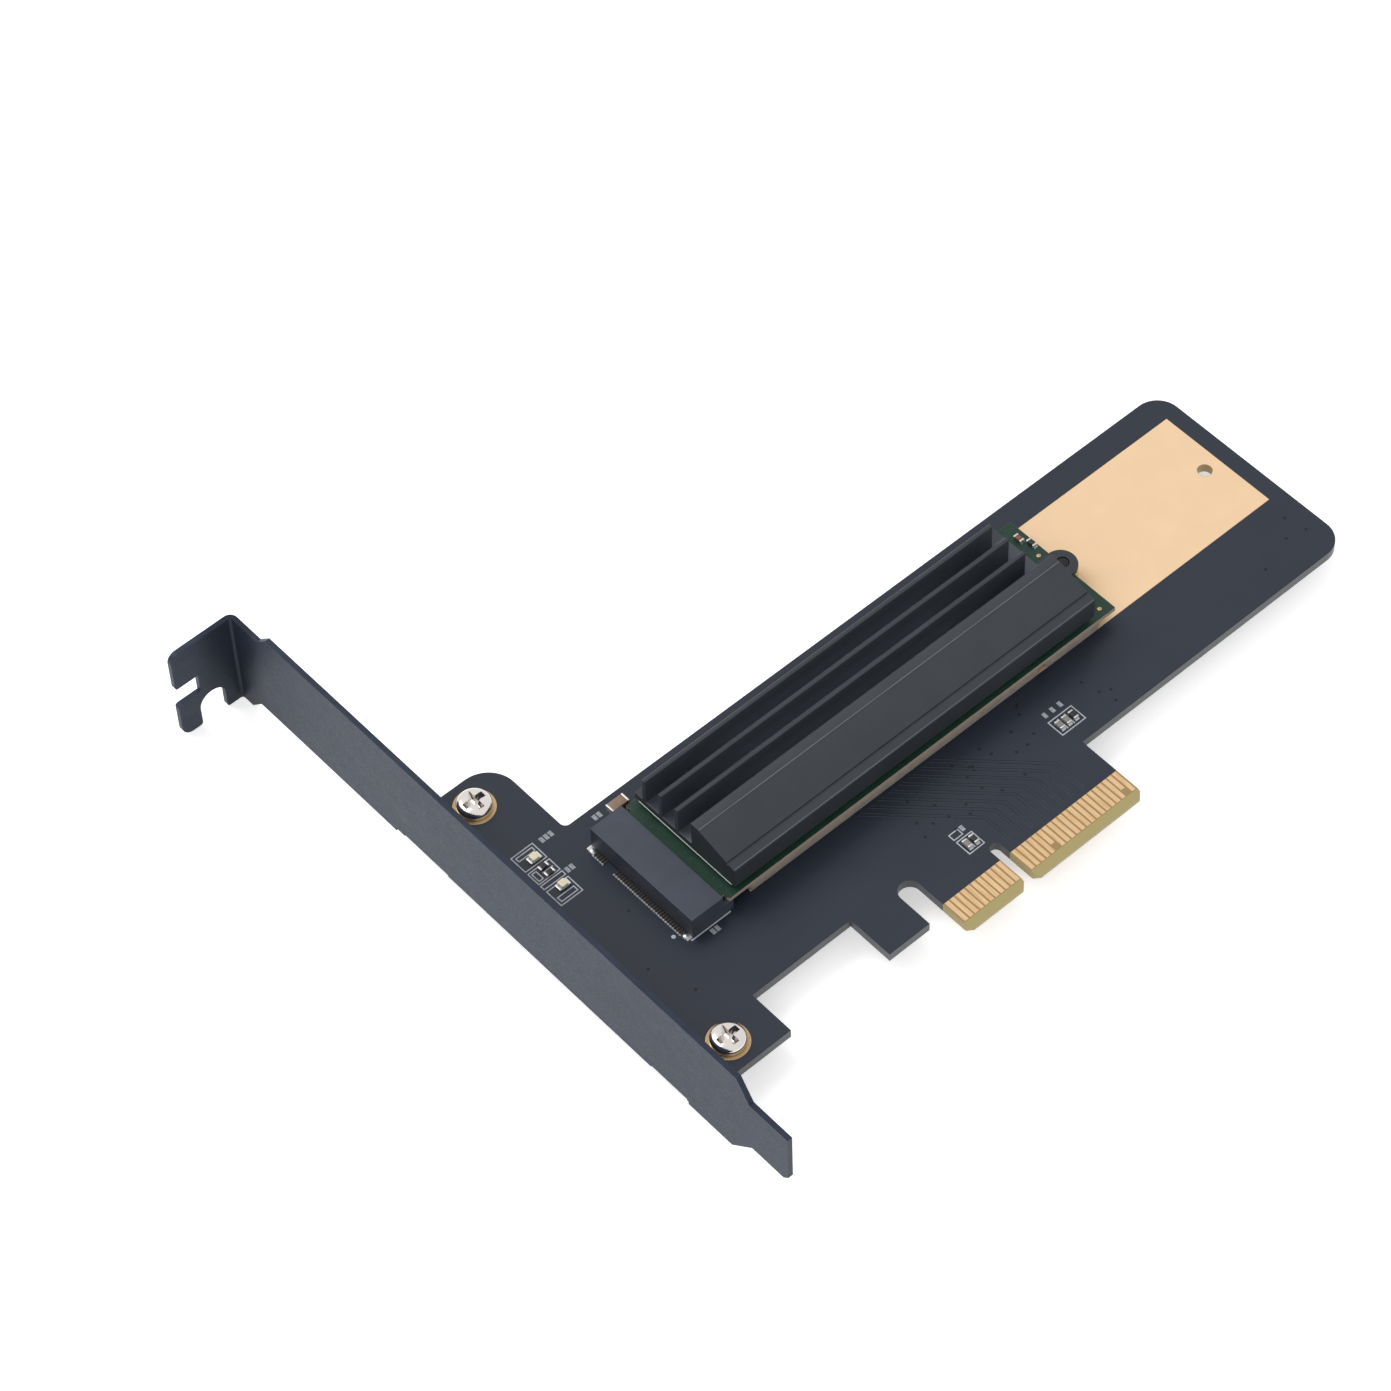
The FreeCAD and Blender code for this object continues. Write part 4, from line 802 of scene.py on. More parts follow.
class Shapes:
    """Small shapes under edit, made from sizes in millimetres."""

    @staticmethod
    def mesh(name: str, shape: Shape) -> bpy.types.Mesh:
        """Turn a shape's faces outwards and make it a mesh.

        Args:
            name: Name of the mesh.
            shape: The shape, which is freed.

        Returns:
            The mesh.
        """
        bmesh.ops.recalc_face_normals(shape, faces=shape.faces)
        mesh = bpy.data.meshes.new(name)
        shape.to_mesh(mesh)
        shape.free()
        return mesh

    @staticmethod
    def block(size: Point, radius: float = 0.0, steps: int = 2, at: Point = (0, 0, 0)) -> Shape:
        """Make a block with rounded edges.

        Args:
            size: Its size on each axis.
            radius: Radius of its edges.
            steps: Faces across each rounded edge.
            at: Middle of its underside.

        Returns:
            The block.
        """
        shape = bmesh.new()
        bmesh.ops.create_cube(shape, size=1)
        middle = Vector(at) + Vector((0, 0, size[2] / 2))
        for vert in shape.verts:
            vert.co = (middle + Vector(part * length for part, length in zip(vert.co, size))) * MM
        if radius:
            bmesh.ops.bevel(shape, geom=shape.edges[:], offset=radius * MM, segments=steps, profile=0.5,
                            affect="EDGES")
        return shape

    @staticmethod
    def skin(rings: Iterable[Sequence[Point]], capped: bool = True) -> Shape:
        """Cover rings of points, each joined to the next.

        Args:
            rings: Rings with the same number of points, or with a single one at a tip.
            capped: True to close the first and the last ring.

        Returns:
            The skin.
        """
        shape = bmesh.new()
        made = [[shape.verts.new(Vector(point) * MM) for point in ring] for ring in rings]
        for one, two in zip(made, made[1:]):
            for i in range(max(len(one), len(two))):
                corners = [ring[j % len(ring)]
                           for ring, j in ((one, i), (one, i + 1), (two, i + 1), (two, i))]
                corners = list(dict.fromkeys(corners))
                if len(corners) > 2:
                    shape.faces.new(corners)
        if capped:
            shape.faces.new(made[0][::-1])
            shape.faces.new(made[-1])
        return shape

    @staticmethod
    def turned(section: Sequence[Spot], steps: int) -> Shape:
        """Turn a section about the Z axis.

        Args:
            section: Radius and height of each corner.
            steps: Faces around.

        Returns:
            The turned shape.
        """
        turns = [2 * math.pi * i / steps for i in range(steps)]
        return Shapes.skin([[(radius * math.cos(turn), radius * math.sin(turn), height)
                             for turn in (turns if radius else turns[:1])] for radius, height in section],
                           capped=False)

    @staticmethod
    def ring(section: Sequence[Spot], steps: int) -> Shape:
        """Turn a closed section about the Z axis.

        Args:
            section: Radius and height of each corner.
            steps: Faces around.

        Returns:
            The ring.
        """
        shape = Shapes.turned([*section, section[0]], steps)
        bmesh.ops.remove_doubles(shape, verts=shape.verts, dist=SAME_POINT_WITHIN)
        return shape

    @staticmethod
    def joined(shapes: Iterable[Shape]) -> Shape:
        """Put several shapes in one.

        Args:
            shapes: The shapes, which are freed.

        Returns:
            One shape.
        """
        whole = bmesh.new()
        for shape in shapes:
            mesh = Shapes.mesh("part", shape)
            whole.from_mesh(mesh)
            bpy.data.meshes.remove(mesh)
        return whole

    @staticmethod
    def cut(shape: Shape, cutter: Shape) -> Shape:
        """Cut one shape out of another.

        Args:
            shape: The shape to cut, which is freed.
            cutter: What is cut out of it, which is freed.

        Returns:
            What is left.
        """
        body, tool = (stand("cutting", Shapes.mesh("cutting", part)) for part in (shape, cutter))
        cut = body.modifiers.new("recess", "BOOLEAN")
        cut.object, cut.solver, cut.use_self = tool, "EXACT", True
        left = bmesh.new()
        left.from_mesh(Piece.plain(body))
        for spent in (body, tool):
            bpy.data.objects.remove(spent)
        return left

    @staticmethod
    def moved(shape: Shape, place: Matrix) -> Shape:
        """Move or turn a shape, and return it."""
        bmesh.ops.transform(shape, matrix=place, verts=shape.verts)
        return shape


@dataclass
class Board:
    """The adapter board: mask, traces, vias, printed marks, plating and fingers."""

    repeats: Repeats
    ribbons: Ribbons
    drive_lengths: tuple[float, ...] = (30, 42, 60, 80, 110)
    hole_radius: float = 1.2
    plating: float = 0.04
    ring_radius: float = 3.22
    ring_hole: float = 1.7
    ring_turn: float = 0.03
    print_height: float = 0.012
    stroke: float = 0.26
    label_block: Point = (0.62, 1.0, 0.014)
    dot_section: tuple[Spot, ...] = ((0, 0.014), (0.3, 0.014), (0.33, 0))
    dot_place: Spot = (-43.6, 27.3)
    boxes: tuple[tuple[Spot, Spot], ...] = (
        ((-51.7, 42.0), (-47.7, 45.2)), ((-51.2, 42.5), (-48.2, 43.4)), ((-51.7, 45.7), (-47.7, 46.5)),
        ((-51.7, 46.9), (-47.7, 49.3)), ((-51.3, 47.3), (-50.5, 48.9)), ((-51.7, 49.8), (-47.7, 53.0)),
        ((-51.2, 51.8), (-48.2, 52.5)), ((-3.4, 9.3), (-0.5, 12.0)), ((-3.4, 12.5), (-1.7, 13.6)),
        ((20.9, 15.3), (25.5, 18.3)))
    strokes: tuple[tuple[Spot, Spot], ...] = (
        ((-42.2, 25.1), (-34.8, 25.1)), ((-50.0, 48.07), (-48.1, 48.07)), ((-1.95, 9.7), (-1.95, 11.6)),
        ((23.72, 15.7), (23.72, 17.9)), ((22.37, 15.7), (22.37, 17.9)))
    labels: tuple[tuple[Spot, int, float], ...] = (
        ((-46.3, 52.5), 3, 0.82), ((-47.0, 46.1), 2, 0.82), ((-38.2, 50.3), 2, 0.82),
        ((-38.9, 24.2), 2, 0.82), ((-1.1, 13.3), 1, 1.0), ((21.5, 19.6), 3, 1.5))
    trace_pairs: int = 8
    first_trace: float = 2.5
    trace_step: float = 2.0
    trace_start: float = 25.0
    trace_turn: float = 12.4
    trace_end: float = 6.4
    trace_width: float = 0.2
    trace_height: float = 0.012
    trace_middle: float = 0.004
    pair_gap: float = 0.5
    turn_shift: float = 0.1
    via_section: tuple[Spot, ...] = ((0, 0.006), (0.1, 0.006), (0.16, 0.018), (0.22, 0.018), (0.26, 0))
    via_seed: int = 11
    via_groups: tuple[tuple[int, Spot, Spot], ...] = (
        (26, (-6, 20), (13.6, 23.8)), (8, (26, 75), (14, 24)), (8, (-56, -45), (14, 40)))

    def build(self) -> None:
        """Make and dress everything that belongs to the board."""
        Piece.dress(MASK, "adapter_board")
        Piece.dress(FINGER_GOLD, "edge_fingers_component", "edge_fingers_solder")
        Piece.dress(GOLD_FIELD, "cooling_plating")
        self.rings()
        self.barrels()
        self.traces()
        self.vias()
        self.printing()

    def rings(self) -> None:
        """Make the plated rings under the bracket screws, with rolled edges."""
        outer, inner, turn = self.ring_radius, self.ring_hole, self.ring_turn
        section = [(inner, 0), (outer, 0), (outer, RING_TOP - turn), (outer - turn, RING_TOP),
                   (inner + turn, RING_TOP), (inner, RING_TOP - turn)]
        self.repeats.at("bracket_screw_ring_plates", Shapes.ring(section, steps=64), BRACKET_SCREWS,
                        RING_GOLD, "bracket_screw_rings")

    def barrels(self) -> None:
        """Line the post holes with plating."""
        outer, inner = self.hole_radius, self.hole_radius - self.plating
        section = [(outer, BOARD_UNDER), (outer, RING_TOP), (inner, RING_TOP), (inner, BOARD_UNDER)]
        spots = [(DRIVE_LOW.x + length, DRIVE_AXIS) for length in self.drive_lengths]
        self.repeats.at("hole_barrels", Shapes.ring(section, steps=40), spots, RING_GOLD)

    def traces(self) -> None:
        """Lay the pairs of copper lines that show through the mask, from drive to fingers."""
        lines = []
        for pair in range(self.trace_pairs):
            finger = self.first_trace + pair * self.trace_step
            for side in (-1, 1):
                x = finger + side * self.pair_gap / 2
                turn = self.trace_turn + side * self.turn_shift
                lines.append([(x - (self.trace_start - turn), self.trace_start), (x, turn),
                              (x, self.trace_end)])
        self.ribbons.lay("mask_traces", lines, self.trace_middle, self.trace_width, self.trace_height,
                         RAISED_MASK)

    def vias(self) -> None:
        """Scatter the tented vias that dimple the mask."""
        draw = random.Random(self.via_seed)
        spots = [(draw.uniform(*across), draw.uniform(*up))
                 for count, across, up in self.via_groups for _ in range(count)]
        self.repeats.at("tented_vias", Shapes.turned(self.via_section, steps=14), spots, VIA_MASK)

    def printing(self) -> None:
        """Print the outlines round the parts and the socket, and a block for each label."""
        loops = [[low, (high[0], low[1]), high, (low[0], high[1])] for low, high in self.boxes]
        self.ribbons.lay("printed_lines", self.strokes, self.print_height / 2, self.stroke,
                         self.print_height, INK, loops)
        spots = [(x + i * step, y) for (x, y), count, step in self.labels for i in range(count)]
        self.repeats.at("printed_labels", Shapes.block(self.label_block), spots, FAINT_INK, smooth=False)
        self.repeats.at("printed_dots", Shapes.turned(self.dot_section, steps=20), [self.dot_place], INK)


@dataclass(frozen=True)
class ScrewMaker:
    """A pan-head screw with a cross recess and a rolled thread, head up, seat at the origin."""

    head_radius: float
    head_height: float
    shank_radius: float
    shank_length: float
    thread_step: float
    thread_depth: float
    recess_reach: float
    recess_width: float
    recess_depth: float
    seat_turn: Spot = (0.12, 0.1)
    floor_share: Spot = (0.45, 0.32)
    mouth_share: Spot = (1.12, 0.55)
    cut_above: float = 0.3
    head_steps: int = 64
    dome_steps: int = 8
    thread_steps: int = 28
    levels_a_turn: int = 4
    crest_shape: float = 0.8

    def head(self) -> Shape:
        """Make the domed head.

        Returns:
            The head, solid under its seat.
        """
        radius, height = self.head_radius, self.head_height
        middle = height / 2
        section = [(0, 0), (radius - self.seat_turn[0], 0), (radius, self.seat_turn[1]), (radius, middle)]
        for i in range(self.dome_steps):
            turn = (i + 1) / self.dome_steps * math.pi / 2
            section.append((radius * (1 + math.cos(turn)) / 2, middle + (height - middle) * math.sin(turn)))
        return Shapes.turned([*section, (0, height)], self.head_steps)

    def cutter(self) -> Shape:
        """Make the tapered cross that cuts the recess.

        Returns:
            The cross.
        """
        arm = []
        floor, mouth = self.head_height - self.recess_depth, self.head_height + self.cut_above
        for z, (long, wide) in ((floor, self.floor_share), (mouth, self.mouth_share)):
            reach, half = self.recess_reach * long, self.recess_width * wide
            arm.append([(-reach, -half, z), (reach, -half, z), (reach, half, z), (-reach, half, z)])
        across = [[(y, x, z) for x, y, z in ring] for ring in arm]
        return Shapes.joined(Shapes.skin(rings) for rings in (arm, across))

    def thread(self) -> Shape:
        """Make the shank, with one continuous thread rolled on it.

        Returns:
            The shank, down from the seat.
        """
        steps, root = self.thread_steps, self.shank_radius - self.thread_depth
        levels = int(self.shank_length / self.thread_step * self.levels_a_turn)
        rings = []
        for level in range(levels + 1):
            z = -self.shank_length * level / levels
            depth = 0 if level in (0, levels) else self.thread_depth
            ring = []
            for i in range(steps):
                phase = (z / self.thread_step - i / steps) % 1
                radius = root + depth * (1 - abs(2 * phase - 1)) ** self.crest_shape
                turn = 2 * math.pi * i / steps
                ring.append((radius * math.cos(turn), radius * math.sin(turn), z))
            rings.append(ring)
        return Shapes.skin(rings)

    def shape(self) -> Shape:
        """Return the whole screw, about the origin."""
        return Shapes.joined([Shapes.cut(self.head(), self.cutter()), self.thread()])


@dataclass
class Bracket:
    """The folded bracket, with broken edges, and the screws through its flanges."""

    repeats: Repeats
    edge: float = 0.1
    screw: ScrewMaker = ScrewMaker(
        head_radius=2.65, head_height=1.6, shank_radius=1.5, shank_length=4.0, thread_step=0.5,
        thread_depth=0.22, recess_reach=1.9, recess_width=1.05, recess_depth=1.1)

    def build(self) -> None:
        """Make the bracket and its screws."""
        Piece.soften("bracket", STEEL, self.edge)
        self.repeats.at("bracket_pan_screws", self.screw.shape(), BRACKET_SCREWS, NICKEL, "bracket_screws",
                        z=RING_TOP)


@dataclass
class DriveSocket:
    """The drive's socket, with its contacts, their solder, and its anchor tabs."""

    repeats: Repeats
    edge: float = 0.08
    rows: tuple[tuple[str, float, float, tuple[tuple[int, int], ...]], ...] = (
        ("rear", -9.25, -42.8, ((0, 29), (33, 5))), ("front", -9.0, -32.9, ((0, 29), (33, 4))))
    tail_fillet: Point = (0.3, 0.42, 0.18)
    tail_edge: float = 0.05
    tab_fillet: tuple[Spot, ...] = ((0, 0.3), (0.24, 0.27), (0.44, 0.18), (0.56, 0.07), (0.62, 0))
    tab_x: float = -42.25
    tab_spread: float = 9.975

    def build(self) -> None:
        """Make and dress everything that belongs to the socket."""
        Piece.soften("m2_socket_housing", SOCKET_BLACK, self.edge)
        Piece.dress(SHADED_CONTACT_GOLD, "m2_socket_upper_contacts", "m2_socket_lower_contacts")
        Piece.dress(TIN, "m2_socket_solder_tabs")
        self.tail_solder()

    def tail_solder(self) -> None:
        """Put a fillet of solder on each contact's tail, and on both anchor tabs."""
        for side, first, x, runs in self.rows:
            for run, (start, count) in zip(("lower", "upper"), runs):
                fillet = Shapes.block(self.tail_fillet, self.tail_edge, steps=1)
                place = (x, DRIVE_AXIS + first + start * PIN_STEP, 0)
                self.repeats.along(f"{side}_{run}_tail_solder", fillet, count, place, (0, PIN_STEP, 0),
                                   SOLDER)
        spots = [(self.tab_x, DRIVE_AXIS + side * self.tab_spread) for side in (-1, 1)]
        self.repeats.at("anchor_solder", Shapes.turned(self.tab_fillet, steps=24), spots, SOLDER)


@dataclass
class Drive:
    """The drive module: its board, pads, chips, small parts and the pads that cool it."""

    repeats: Repeats
    board_edge: float = 0.04
    chip_edge: float = 0.06
    entry_x: float = -35.2
    entry_half: float = 9.5
    entry_line: Point = (1.0, 0.18, 0.02)
    entry_pad: Point = (0.4, 0.48, 0.04)
    entry_pad_x: float = -34.25
    entry_pads: tuple[float, ...] = (-8.6, -6.9, -5.6, -2.2, -0.9, 3.4, 4.6, 7.9)
    notch_radii: Spot = (1.78, 2.7)
    notch_steps: int = 28
    plating: float = 0.03
    test_section: tuple[Spot, ...] = ((0, 0.03), (0.3, 0.03), (0.34, 0))
    test_places: tuple[Spot, ...] = ((39.7, 39.7), (39.24, 26.5), (38.5, 28.4))
    pads: tuple[tuple[str, Finish, float], ...] = (
        ("lower_pad_main", PAD_GREY, 0.16), ("lower_pad_end", PAD_GREY, 0.14),
        ("upper_thermal_pad", PAD_LIGHT, 0.06))
    pad_inset: float = 0.03
    pad_corner: float = 0.35
    pad_levels: int = 6

    def build(self) -> None:
        """Make and dress everything that belongs to the drive."""
        Piece.soften("drive_board", DRIVE_MASK, self.board_edge, steps=1)
        Piece.dress(SHADED_CONTACT_GOLD, "drive_upper_contacts", "drive_lower_contacts")
        for node in ("drive_controller", "drive_buffer_memory", "drive_flash_memory"):
            Piece.soften(node, RESIN, self.chip_edge, steps=1)
        self.entry_lines()
        self.notch_ring()
        self.repeats.at("drive_test_points", Shapes.turned(self.test_section, steps=20),
                        self.test_places, RING_GOLD, z=DRIVE_HIGH.z)
        for node, finish, swell in self.pads:
            Piece.seat(Piece.shaped(f"{node}_pressed", self.pressed(node, swell), finish), finish, node)

    def entry_lines(self) -> None:
        """Lay the copper lines behind the contacts, and the pads beside them, under the mask."""
        count = int(2 * self.entry_half / PIN_STEP) + 1
        place = (self.entry_x, DRIVE_AXIS - self.entry_half, DRIVE_HIGH.z)
        self.repeats.along("entry_lines", Shapes.block(self.entry_line), count, place, (0, PIN_STEP, 0),
                           RAISED_GREEN, smooth=False)
        spots = [(self.entry_pad_x, DRIVE_AXIS + y) for y in self.entry_pads]
        self.repeats.at("entry_pads", Shapes.block(self.entry_pad), spots, RAISED_GREEN, z=DRIVE_HIGH.z)

    def notch_ring(self) -> None:
        """Plate the half ring round the drive's end notch, on top."""
        inner, outer = self.notch_radii
        turns = [math.pi / 2 + math.pi * i / self.notch_steps for i in range(self.notch_steps + 1)]
        section = ((inner, 0), (outer, 0), (outer, self.plating), (inner, self.plating))
        rings = [[(DRIVE_HIGH.x + radius * math.cos(turn), DRIVE_AXIS + radius * math.sin(turn),
                   DRIVE_HIGH.z + z) for radius, z in section] for turn in turns]
        Piece.seat(Piece.shaped("notch_plating", Shapes.skin(rings), RING_GOLD), RING_GOLD)

    def pressed(self, node: str, swell: float) -> Shape:
        """Make a soft pad, pressed so that its free sides swell.

        Args:
            node: The solid whose place it takes.
            swell: How far its sides stand out, halfway up.

        Returns:
            The pad.
        """
        low, high = solid_box(node)
        cut, rings = self.pad_corner, []
        for i in range(self.pad_levels + 1):
            share = i / self.pad_levels
            out = swell * math.sin(math.pi * share) - self.pad_inset
            a, b, c, d = low.x - out, high.x + out, low.y - out, high.y + out
            outline = [(a + cut, c), (b - cut, c), (b, c + cut), (b, d - cut), (b - cut, d), (a + cut, d),
                       (a, d - cut), (a, c + cut)]
            rings.append([(x, y, low.z + (high.z - low.z) * share) for x, y in outline])
        return Shapes.skin(rings)


@dataclass
class Heatsink:
    """The extruded heatsink, with painted highlight lines along the edges of its rib."""

    ribbons: Ribbons
    edge: float = 0.14
    start: float = -33.4
    end: float = 37.0
    # Painted highlights: light strips laid on the rib's crest and along its low edge.
    wear_and_highlight: tuple[tuple[str, float, float], ...] = (
        ("crest_line", 33.02, 10.185), ("low_edge_line", 25.72, 8.06))
    highlight_width: float = 0.3
    highlight_height: float = 0.02

    def build(self) -> None:
        """Make the heatsink and the two painted highlight lines."""
        Piece.soften("heatsink", ANODISED, self.edge)
        for name, y, z in self.wear_and_highlight:
            self.ribbons.lay(name, [[(self.start, y), (self.end, y)]], z, self.highlight_width,
                             self.highlight_height, EDGE_HIGHLIGHT)


@dataclass
class Posts:
    """The post that holds the drive's end, and the screw through it from under the board."""

    post_section: tuple[Spot, ...] = (
        (1.1, 0.05), (2.3, 0.05), (2.4, 0.15), (2.4, 2.25), (2.3, 2.35), (1.6, 2.35), (1.6, 3.07),
        (1.52, 3.15), (1.1, 3.15))
    screw: ScrewMaker = ScrewMaker(
        head_radius=1.9, head_height=1.2, shank_radius=1.0, shank_length=5.17, thread_step=0.4,
        thread_depth=0.12, recess_reach=1.1, recess_width=0.5, recess_depth=0.7)

    def build(self) -> None:
        """Make the post and its screw."""
        place = Vector((DRIVE_HIGH.x, DRIVE_AXIS, 0)) * MM
        post = Shapes.moved(Shapes.ring(self.post_section, steps=48), Matrix.Translation(place))
        Piece.seat(Piece.shaped("turned_post", post, BRASS), BRASS, "standoff")
        under = Matrix.Translation(place + Vector((0, 0, BOARD_UNDER)) * MM)
        screw = Shapes.moved(self.screw.shape(), under @ Matrix.Rotation(math.pi, 4, "X"))
        Piece.seat(Piece.shaped("post_screw", screw, BLACK_ZINC), BLACK_ZINC, "heatsink_screw")


@dataclass(frozen=True)
class ChipKind:
    """One size of small ceramic part, with its terminals and solder."""

    length: float
    width: float
    height: float
    along_y: bool = False
    terminal: float = 0.3
    wall: float = 0.02
    edge: float = 0.05
    terminal_edge: float = 0.06
    solder: tuple[Spot, ...] = ((0, 0), (0.22, 0), (0.1, 0.3), (0, 0.6))
    solder_overlap: float = 0.01
    solder_inset: float = 0.04

    def shapes(self) -> list[Shape]:
        """Make the body, both terminals and their solder about the origin.

        Returns:
            The three shapes.
        """
        wall, half, side = self.wall, self.length / 2, self.width / 2 - self.solder_inset
        body = Shapes.block((self.length - 2 * (self.terminal - wall), self.width, self.height - wall),
                            self.edge, at=(0, 0, wall))
        ends, solder = [], []
        for way in (-1, 1):
            size = (self.terminal, self.width + 2 * wall, self.height + wall)
            ends.append(Shapes.block(size, self.terminal_edge, at=(way * (half - self.terminal / 2), 0, 0)))
            solder.append(Shapes.skin([[(way * (half + out - self.solder_overlap), y, self.height * share)
                                        for out, share in self.solder] for y in (-side, side)]))
        turn = Matrix.Rotation(math.pi / 2 if self.along_y else 0, 4, "Z")
        return [Shapes.moved(shape, turn) for shape in (body, Shapes.joined(ends), Shapes.joined(solder))]


@dataclass
class SmallParts:
    """Capacitors, resistors and the two lamps."""

    repeats: Repeats
    large: ChipKind = ChipKind(3.2, 1.6, 0.8)
    small: ChipKind = ChipKind(1.55, 0.8, 0.6, along_y=True)
    resistor: ChipKind = ChipKind(1.6, 0.8, 0.45)
    key_line: float = 10.65
    supply_line: float = 16.75
    lamp_x: float = -49.25
    lamp_lines: Spot = (50.75, 44.5)
    resistor_lines: Spot = (48.75, 47.4)
    lamp_base: Point = (1.96, 1.2, 0.35)
    lamp_end: Point = (0.44, 1.25, 0.37)
    lamp_end_x: float = 0.82
    lamp_lens: Point = (1.2, 1.24, 0.47)
    lens_under: float = 0.33
    base_edge: float = 0.03
    end_edge: float = 0.04
    lens_edge: float = 0.12

    def place(self, name: str, kind: ChipKind, spots: Sequence[Spot], body: Finish, *stands_for: str,
              z: float = 0.0) -> None:
        """Make one kind of part at its places.

        Args:
            name: Start of the pieces' names.
            kind: The part's sizes.
            spots: X and Y places in millimetres.
            body: Finish of their bodies.
            stands_for: The solid that they stand for, if they are the first to do so.
            z: Height of the places.
        """
        bodies, ends, solder = kind.shapes()
        self.repeats.at(f"{name}_bodies", bodies, spots, body, *stands_for, z=z)
        self.repeats.at(f"{name}_ends", ends, spots, TIN, z=z)
        self.repeats.at(f"{name}_solder", solder, spots, SOLDER, z=z)

    def build(self) -> None:
        """Make all the small parts."""
        key, supply, top = self.key_line, self.supply_line, DRIVE_HIGH.z
        self.place("socket_side_capacitor", self.large, [(-34.4, 49.7)], TAN, "socket_capacitor")
        self.place("key_capacitor", self.small, [(-1.3, key)], DARK_GLAZE, "connector_capacitors")
        self.place("grey_key_capacitor", self.small, [(-2.6, key)], GREY_CERAMIC)
        self.place("supply_chip", self.small, [(24.4, supply)], DARK_GLAZE, "supply_capacitors")
        self.place("grey_supply_chips", self.small, [(23.05, supply), (21.7, supply)], GREY_CERAMIC)
        self.place("outer_end_capacitor", self.small, [(39.6, 43.83)], REDDISH, "drive_end_capacitors",
                   z=top)
        self.place("inner_end_capacitor", self.small, [(40.4, 41.93)], DARK_GLAZE, z=top)
        self.place("lamp_resistors", self.resistor, [(self.lamp_x, y) for y in self.resistor_lines],
                   DARK_GLAZE, "led_resistors")
        self.lamps()

    def lamps(self) -> None:
        """Make both lamps: a base with metal ends, and a clear lens on it."""
        spots = [(self.lamp_x, y) for y in self.lamp_lines]
        base = Shapes.block(self.lamp_base, self.base_edge)
        ends = Shapes.joined(Shapes.block(self.lamp_end, self.end_edge, at=(way * self.lamp_end_x, 0, 0))
                             for way in (-1, 1))
        lens = Shapes.block(self.lamp_lens, self.lens_edge, steps=3, at=(0, 0, self.lens_under))
        self.repeats.at("lamp_bases", base, spots, LAMP_BASE, "status_leds")
        self.repeats.at("lamp_ends", ends, spots, TIN)
        self.repeats.at("lamp_lenses", lens, spots, LENS)


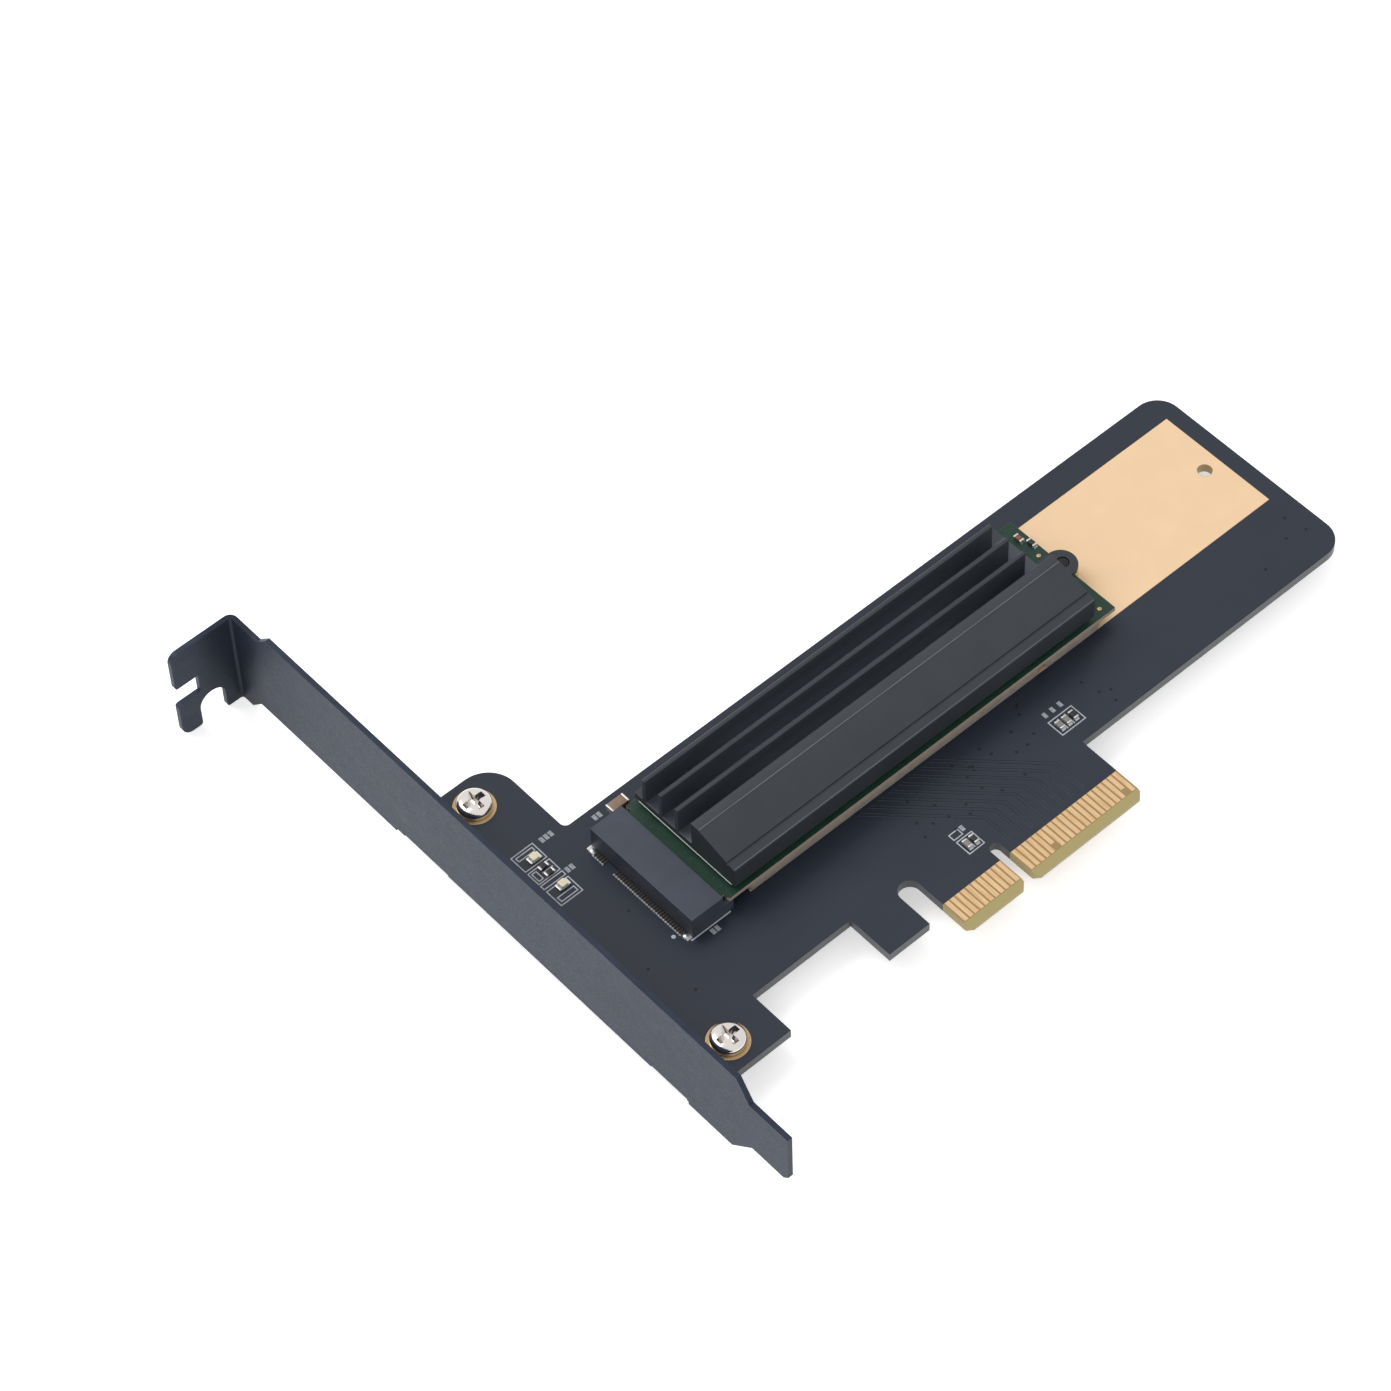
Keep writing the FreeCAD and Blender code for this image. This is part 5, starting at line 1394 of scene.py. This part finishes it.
@dataclass
class Studio:
    """The floor, the lamps, the pale surroundings and the camera, in metres."""

    floor_colour: Rgb = (252, 252, 252)
    floor_reach: float = 3.0
    floor_gap: float = 0.0004
    floor_glow: float = 0.5
    lights: tuple[tuple[str, Point, float, float], ...] = (
        ("key", (-0.35, 0.75, 1.15), 0.9, 8.8), ("fill", (-0.9, -0.5, 0.7), 0.8, 3.2))
    lit_place: Point = (0, 0.04, 0)
    surround: float = 0.62
    camera_place: Point = (-0.28385274, -0.26894925, 0.56204837)
    camera_right: Point = (0.74524865, -0.66623468, -0.02712563)
    camera_up: Point = (0.54462134, 0.58473337, 0.60122748)
    camera_back: Point = (-0.38469733, -0.46283717, 0.79861738)
    lens: float = 125.163
    sensor: float = 36.0

    def build(self) -> None:
        """Set the stage."""
        self.floor()
        self.lamps()
        self.world()
        self.camera()
        bpy.context.scene.view_settings.view_transform = "Standard"

    def floor(self) -> None:
        """Lay the pale floor just under the card, brighter where it is seen or mirrored."""
        low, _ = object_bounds()
        reach, z = self.floor_reach, low[2] - self.floor_gap
        mesh = bpy.data.meshes.new("floor")
        mesh.from_pydata([(-reach, -reach, z), (reach, -reach, z), (reach, reach, z), (-reach, reach, z)],
                         [], [(0, 1, 2, 3)])
        nodes = Nodes("floor_seen")
        nodes.fill(nodes.shader, {"Base Color": linear(self.floor_colour), "Roughness": 0.9,
                                  "Specular IOR Level": 0.0})
        plain = nodes.shader.outputs[0]
        glow = nodes.add("ShaderNodeEmission", {"Strength": self.floor_glow}).outputs[0]
        bright = nodes.add("ShaderNodeAddShader", {0: plain, 1: glow}).outputs[0]
        seen = nodes.seen_by("Is Camera Ray", "Is Glossy Ray")
        pick = nodes.add("ShaderNodeMixShader", {0: seen, 1: plain, 2: bright}).outputs[0]
        nodes.fill(nodes.tree.nodes["Material Output"], {"Surface": pick})
        mesh.materials.append(nodes.material)
        stand("floor", mesh)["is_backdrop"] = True

    def lamps(self) -> None:
        """Hang a wide key lamp above and a fill beside it."""
        for name, place, size, power in self.lights:
            lamp = bpy.data.lights.new(name, "AREA")
            lamp.size = size
            lamp.energy = power
            made = stand(name, lamp)
            made.location = place
            made.rotation_euler = (Vector(place) - Vector(self.lit_place)).to_track_quat("Z", "Y").to_euler()

    def world(self) -> None:
        """Surround the card with plain white, at full strength where it is seen or mirrored."""
        world = bpy.data.worlds.new("surround")
        world.use_nodes = True
        graph = Graph(world.node_tree)
        seen = graph.seen_by("Is Camera Ray", "Is Transmission Ray", "Is Glossy Ray")
        strength = graph.span(seen, 0, 1, (self.surround, 1))
        graph.fill(world.node_tree.nodes["Background"], {"Color": (1, 1, 1, 1), "Strength": strength})
        bpy.context.scene.world = world

    def camera(self) -> None:
        """Stand the camera where the photograph was taken."""
        lens = bpy.data.cameras.new("camera")
        lens.lens = self.lens
        lens.sensor_width = self.sensor
        lens.sensor_fit = "HORIZONTAL"
        lens.clip_start = 0.01
        camera = stand("camera", lens)
        axes = (self.camera_right, self.camera_up, self.camera_back)
        turn = Matrix([[axis[row] for axis in axes] for row in range(3)]).to_4x4()
        camera.matrix_world = Matrix.Translation(self.camera_place) @ turn
        bpy.context.scene.camera = camera


def main() -> None:
    """Build the card's sub-assemblies in order, and the studio round them."""
    logging.basicConfig(level=logging.INFO, format="%(name)s %(message)s")
    repeats, ribbons = Repeats(), Ribbons()
    for assembly in (Board(repeats, ribbons), Bracket(repeats), DriveSocket(repeats), Drive(repeats),
                     Heatsink(ribbons), Posts(), SmallParts(repeats)):
        LOG.info("building %s", type(assembly).__name__)
        assembly.build()
    Studio().build()


if __name__ == "__main__":
    main()
